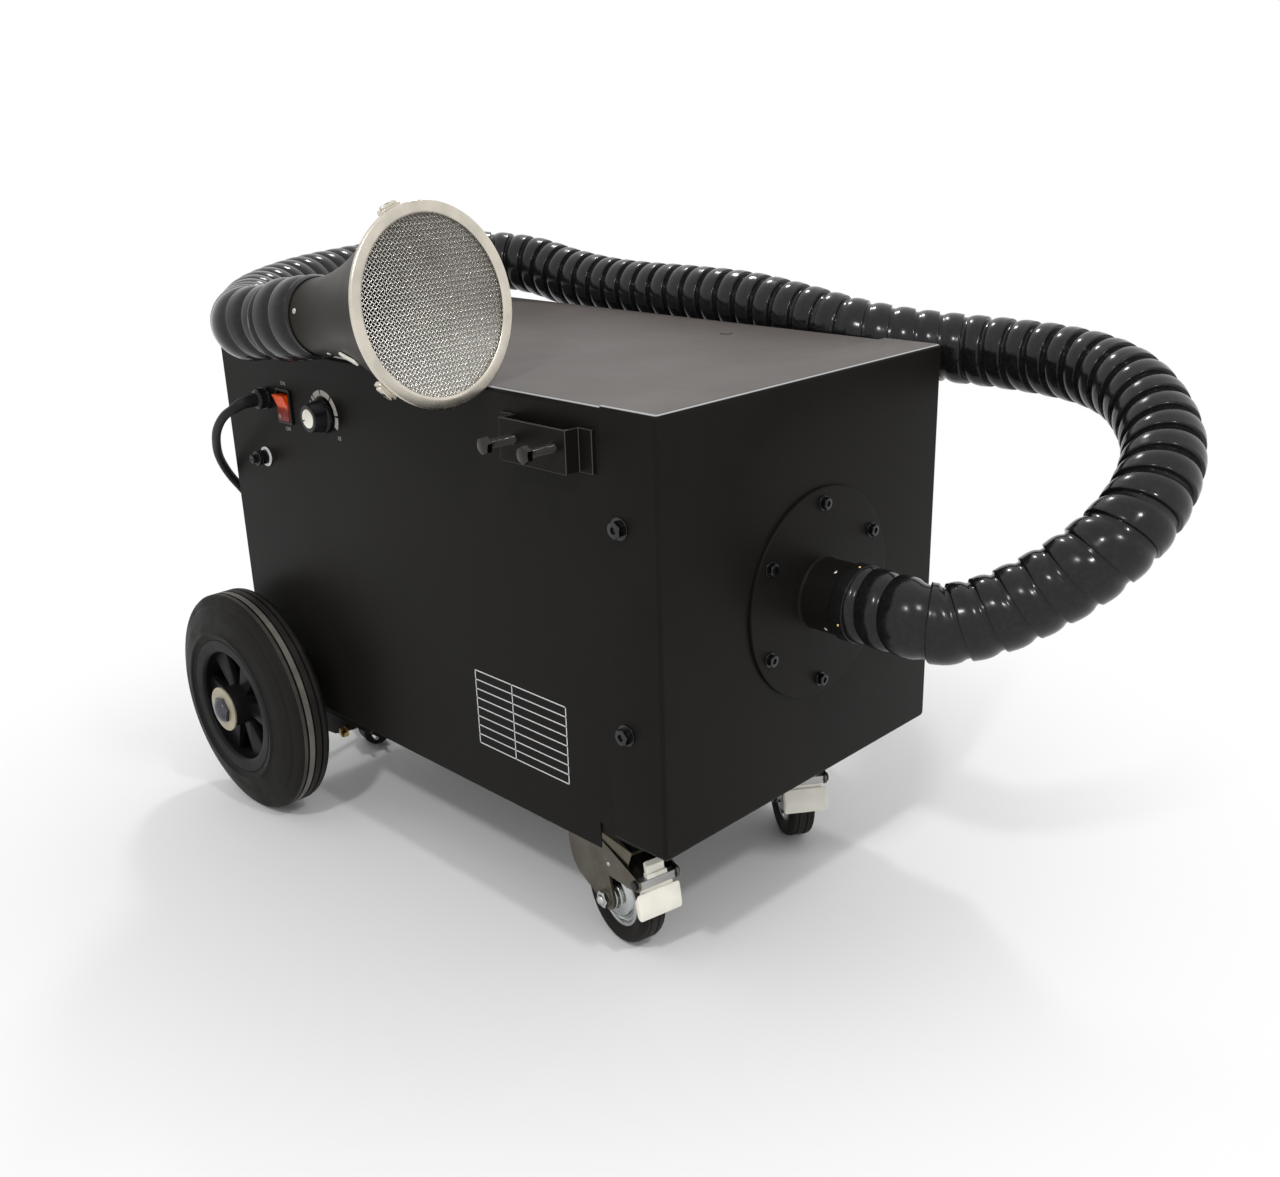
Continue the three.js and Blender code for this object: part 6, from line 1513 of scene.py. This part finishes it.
class EXTRACTOR_OT_casters(bpy.types.Operator):
    """Makes the two casters: plate, fork with the brake's cover, tyre, hub, axle bolt and pedal"""

    bl_idname = "extractor.casters"
    bl_label = "Casters"

    def execute(self, context):
        sides = context.scene.extractor_sizes.round_sides
        for end in ("near", "far"):
            centre = middle_of("caster_hub_" + end)
            plate = middle_of("caster_plate_" + end)
            ahead = unit((centre - plate) * (1, 1, 0))
            axis = np.cross(Z, ahead)
            dressed("caster_plate_" + end, "dull zinc", 0.5)
            # The fork's bevelled edges take a painted highlight
            fork = dressed(
                "caster_fork_" + end, "olive", 1.1, segments=3, edge_finish="gold edge highlight")
            fork.data.materials.append(finish_of("cover steel and inner shade"))
            # The brake cover's top faces take its dark steel, and the cheeks' inner faces the same colour as
            # painted shade
            for face in fork.data.polygons:
                beside = np.dot(np.array(face.center) - plate, axis)
                inside = np.dot(face.normal, axis) * beside < -MERGE
                if inside or (abs(beside) < COVER_HALF * MM and face.normal.z > 0.3):
                    face.material_index = 2
            self.tyre(end, centre, axis, sides)
            self.hub(end, centre, axis, sides)
            self.axle(end, centre, axis)
            floor = plate * (1, 1, 0)
            pivot = floor + MM * (PIVOT_AHEAD * ahead + PIVOT_UP * Z)
            self.rivets(end, floor, pivot, ahead, axis)
            self.pedal(end, pivot, ahead, axis)
        return {"FINISHED"}

    def tyre(self, end, centre, axis, sides):
        """Two full walls and between them a tread with two narrow grooves."""
        wall = rounded([(32.3, 10), (36, 12.6), (42.2, 14), (45.4, 13), (47.2, 10.8), (48, 7.7)], 1.6, 4)
        tread = [(48, 7.7), (48, 5.2), (46.9, 4.8), (46.9, 3.8), (48, 3.4), (48, -3.4), (46.9, -3.8),
                 (46.9, -4.8), (48, -5.2), (48, -7.7)]
        patches = [
            revolve(wall, centre, axis, sides), revolve(tread, centre, axis, sides),
            revolve(wall[::-1] * (1, -1), centre, axis, sides),
            revolve([(32.3, -10), (32.3, 10)], centre, axis, sides)]
        made = surface("caster_tread_" + end, patches, ["caster rubber", "worn"], [0, 1, 0, 0])
        stand_for(made, "caster_tyre_" + end)

    def hub(self, end, centre, axis, sides):
        """Two pressed discs back to back: a boss, a step and a rolled rim."""
        half = rounded([
            (5.3, 19), (12, 19), (12.6, 13.6), (21.4, 13), (24.6, 6.4), (27.6, 7), (28.8, 10.2),
            (32, 10.2), (32, 0)], [0.3, 1.4, 1.4, 2.4, 1.6, 1.6, 0.8, 0.8, 0], 5)
        section = np.vstack([half, half[-2::-1] * (1, -1)])
        disc = revolve(section, centre, axis, sides, closed=True)
        stand_for(surface("caster_disc_" + end, [disc], ["pressed zinc"]), "caster_hub_" + end)

    def axle(self, end, centre, axis):
        """A plain shaft with a bolt's head, and a nut with a dome at its other end."""
        a = np.linspace(0, math.pi / 2, 7)
        dome = np.stack([5 * np.cos(a), 28.2 + 4 * np.sin(a)], 1)
        patches = [
            revolve([(0, -22.4), (4.9, -22.4), (4.9, 22.4), (0, 22.4)], centre, axis, 32),
            hexagon_head(centre, axis, 15, 6, 22.3, 0.4), hexagon_head(centre, -axis, 15, 6, 22.3, 0.1),
            revolve([(5, 27), *dome], centre, -axis, 32)]
        stand_for(surface("caster_bolt_" + end, patches, ["zinc"]), "caster_axle_" + end)

    def rivets(self, end, floor, pivot, ahead, axis):
        """A bright rivet on each cheek and the black heads of the brake's pin."""
        patches = []
        for way in (-1, 1):
            place = floor + MM * (RIVET_AHEAD * ahead + CHEEK * way * axis + RIVET_UP * Z)
            patches.append(rivet(place, way * axis, 2.6, 1.5, 20))
        pin = rounded([(0, CHEEK), (4.6, CHEEK), (4.6, 24.4), (0, 24.4)], [0, 0.2, 0.9, 0])
        patches += [revolve(pin, pivot, axis, 32), revolve(pin, pivot, -axis, 32)]
        rivets = surface("cheek_rivets_" + end, patches, ["zinc", "plastic"], [0, 0, 1, 1])
        mount(rivets, "caster_swivel_" + end, "zinc")

    def pedal(self, end, pivot, ahead, axis):
        """The brake's pedal: a grey bar on the pivot, a thick pad below it, and the tab above that
        releases it."""
        pad = rounded(
            [(4.2, -8), (9.8, -24), (9.0, -35), (3.6, -33), (-1.5, -17.5)], [2, 10, 7, 3, 3], 6, closed=True)
        strap = [(-2.4, 0), (1, 0), (3.4, -14), (0, -17)]
        tab = [(-2.2, 0), (1.1, 0), (0, 14.3), (-4.2, 17.2), (-5.5, 15.5)]
        step = [(-3, 2), (4.2, 2), (2.4, 7), (-3, 7)]
        bar = rounded([(-3.6, -5), (4.4, -5), (4.4, 3.6), (-3.6, 3.6)], 1.2, closed=True)
        patches = [
            slab(pad, pivot, ahead, Z, axis, -23, 23, 2.6, 5), slab(tab, pivot, ahead, Z, axis, -9.5, 9.5),
            slab(step, pivot, ahead, Z, axis, -11, 11, 0.6), slab(strap, pivot, ahead, Z, axis, -17, 17),
            slab(bar, pivot, ahead, Z, axis, -19, 19, 0.3)]
        made = surface("brake_" + end, patches, ["cream", "dull zinc"], [0, 0, 0, 0, 1])
        stand_for(made, "brake_pedal_" + end)


class EXTRACTOR_OT_inside(bpy.types.Operator):
    """Dresses the partition, the filter and the blower inside the cabinet"""

    bl_idname = "extractor.inside"
    bl_label = "Inside"

    def execute(self, context):
        for node, finish in (
                ("partition", "paint"), ("filter_cartridge", "paper"), ("fan_scroll", "sheet"),
                ("impeller", "sheet"), ("motor", "cast")):
            dressed(node, finish, 0.3)
        return {"FINISHED"}


class EXTRACTOR_PT_panel(bpy.types.Panel):
    """Lists what the scene makes"""

    bl_label = "Fume extractor"
    bl_space_type = "VIEW_3D"
    bl_region_type = "UI"
    bl_category = "Extractor"

    def draw(self, context):
        for operator in OPERATORS:
            self.layout.operator(operator.bl_idname)
        for group in (context.scene.extractor_sizes, context.scene.extractor_finishes):
            for name in group.__annotations__:
                self.layout.prop(group, name)


OPERATORS = (
    EXTRACTOR_OT_stage, EXTRACTOR_OT_hose, EXTRACTOR_OT_mains, EXTRACTOR_OT_hood, EXTRACTOR_OT_cabinet,
    EXTRACTOR_OT_inlet, EXTRACTOR_OT_clamp, EXTRACTOR_OT_controls, EXTRACTOR_OT_wheels,
    EXTRACTOR_OT_casters, EXTRACTOR_OT_inside)
CLASSES = (FinishSettings, SizeSettings, *OPERATORS, EXTRACTOR_PT_panel)


def register():
    """Registers the classes and hangs both groups of settings on the scene."""
    for kind in CLASSES:
        bpy.utils.register_class(kind)
    bpy.types.Scene.extractor_finishes = PointerProperty(type=FinishSettings)
    bpy.types.Scene.extractor_sizes = PointerProperty(type=SizeSettings)


def unregister():
    """Takes back what register did, in reverse."""
    del bpy.types.Scene.extractor_sizes
    del bpy.types.Scene.extractor_finishes
    for kind in reversed(CLASSES):
        bpy.utils.unregister_class(kind)


def main():
    """Builds the whole scene."""
    register()
    bpy.ops.extractor.stage()
    bpy.ops.extractor.hose()
    bpy.ops.extractor.mains()
    bpy.ops.extractor.hood()
    bpy.ops.extractor.cabinet()
    bpy.ops.extractor.inlet()
    bpy.ops.extractor.clamp()
    bpy.ops.extractor.controls()
    bpy.ops.extractor.wheels()
    bpy.ops.extractor.casters()
    bpy.ops.extractor.inside()


if __name__ == "__main__":
    main()
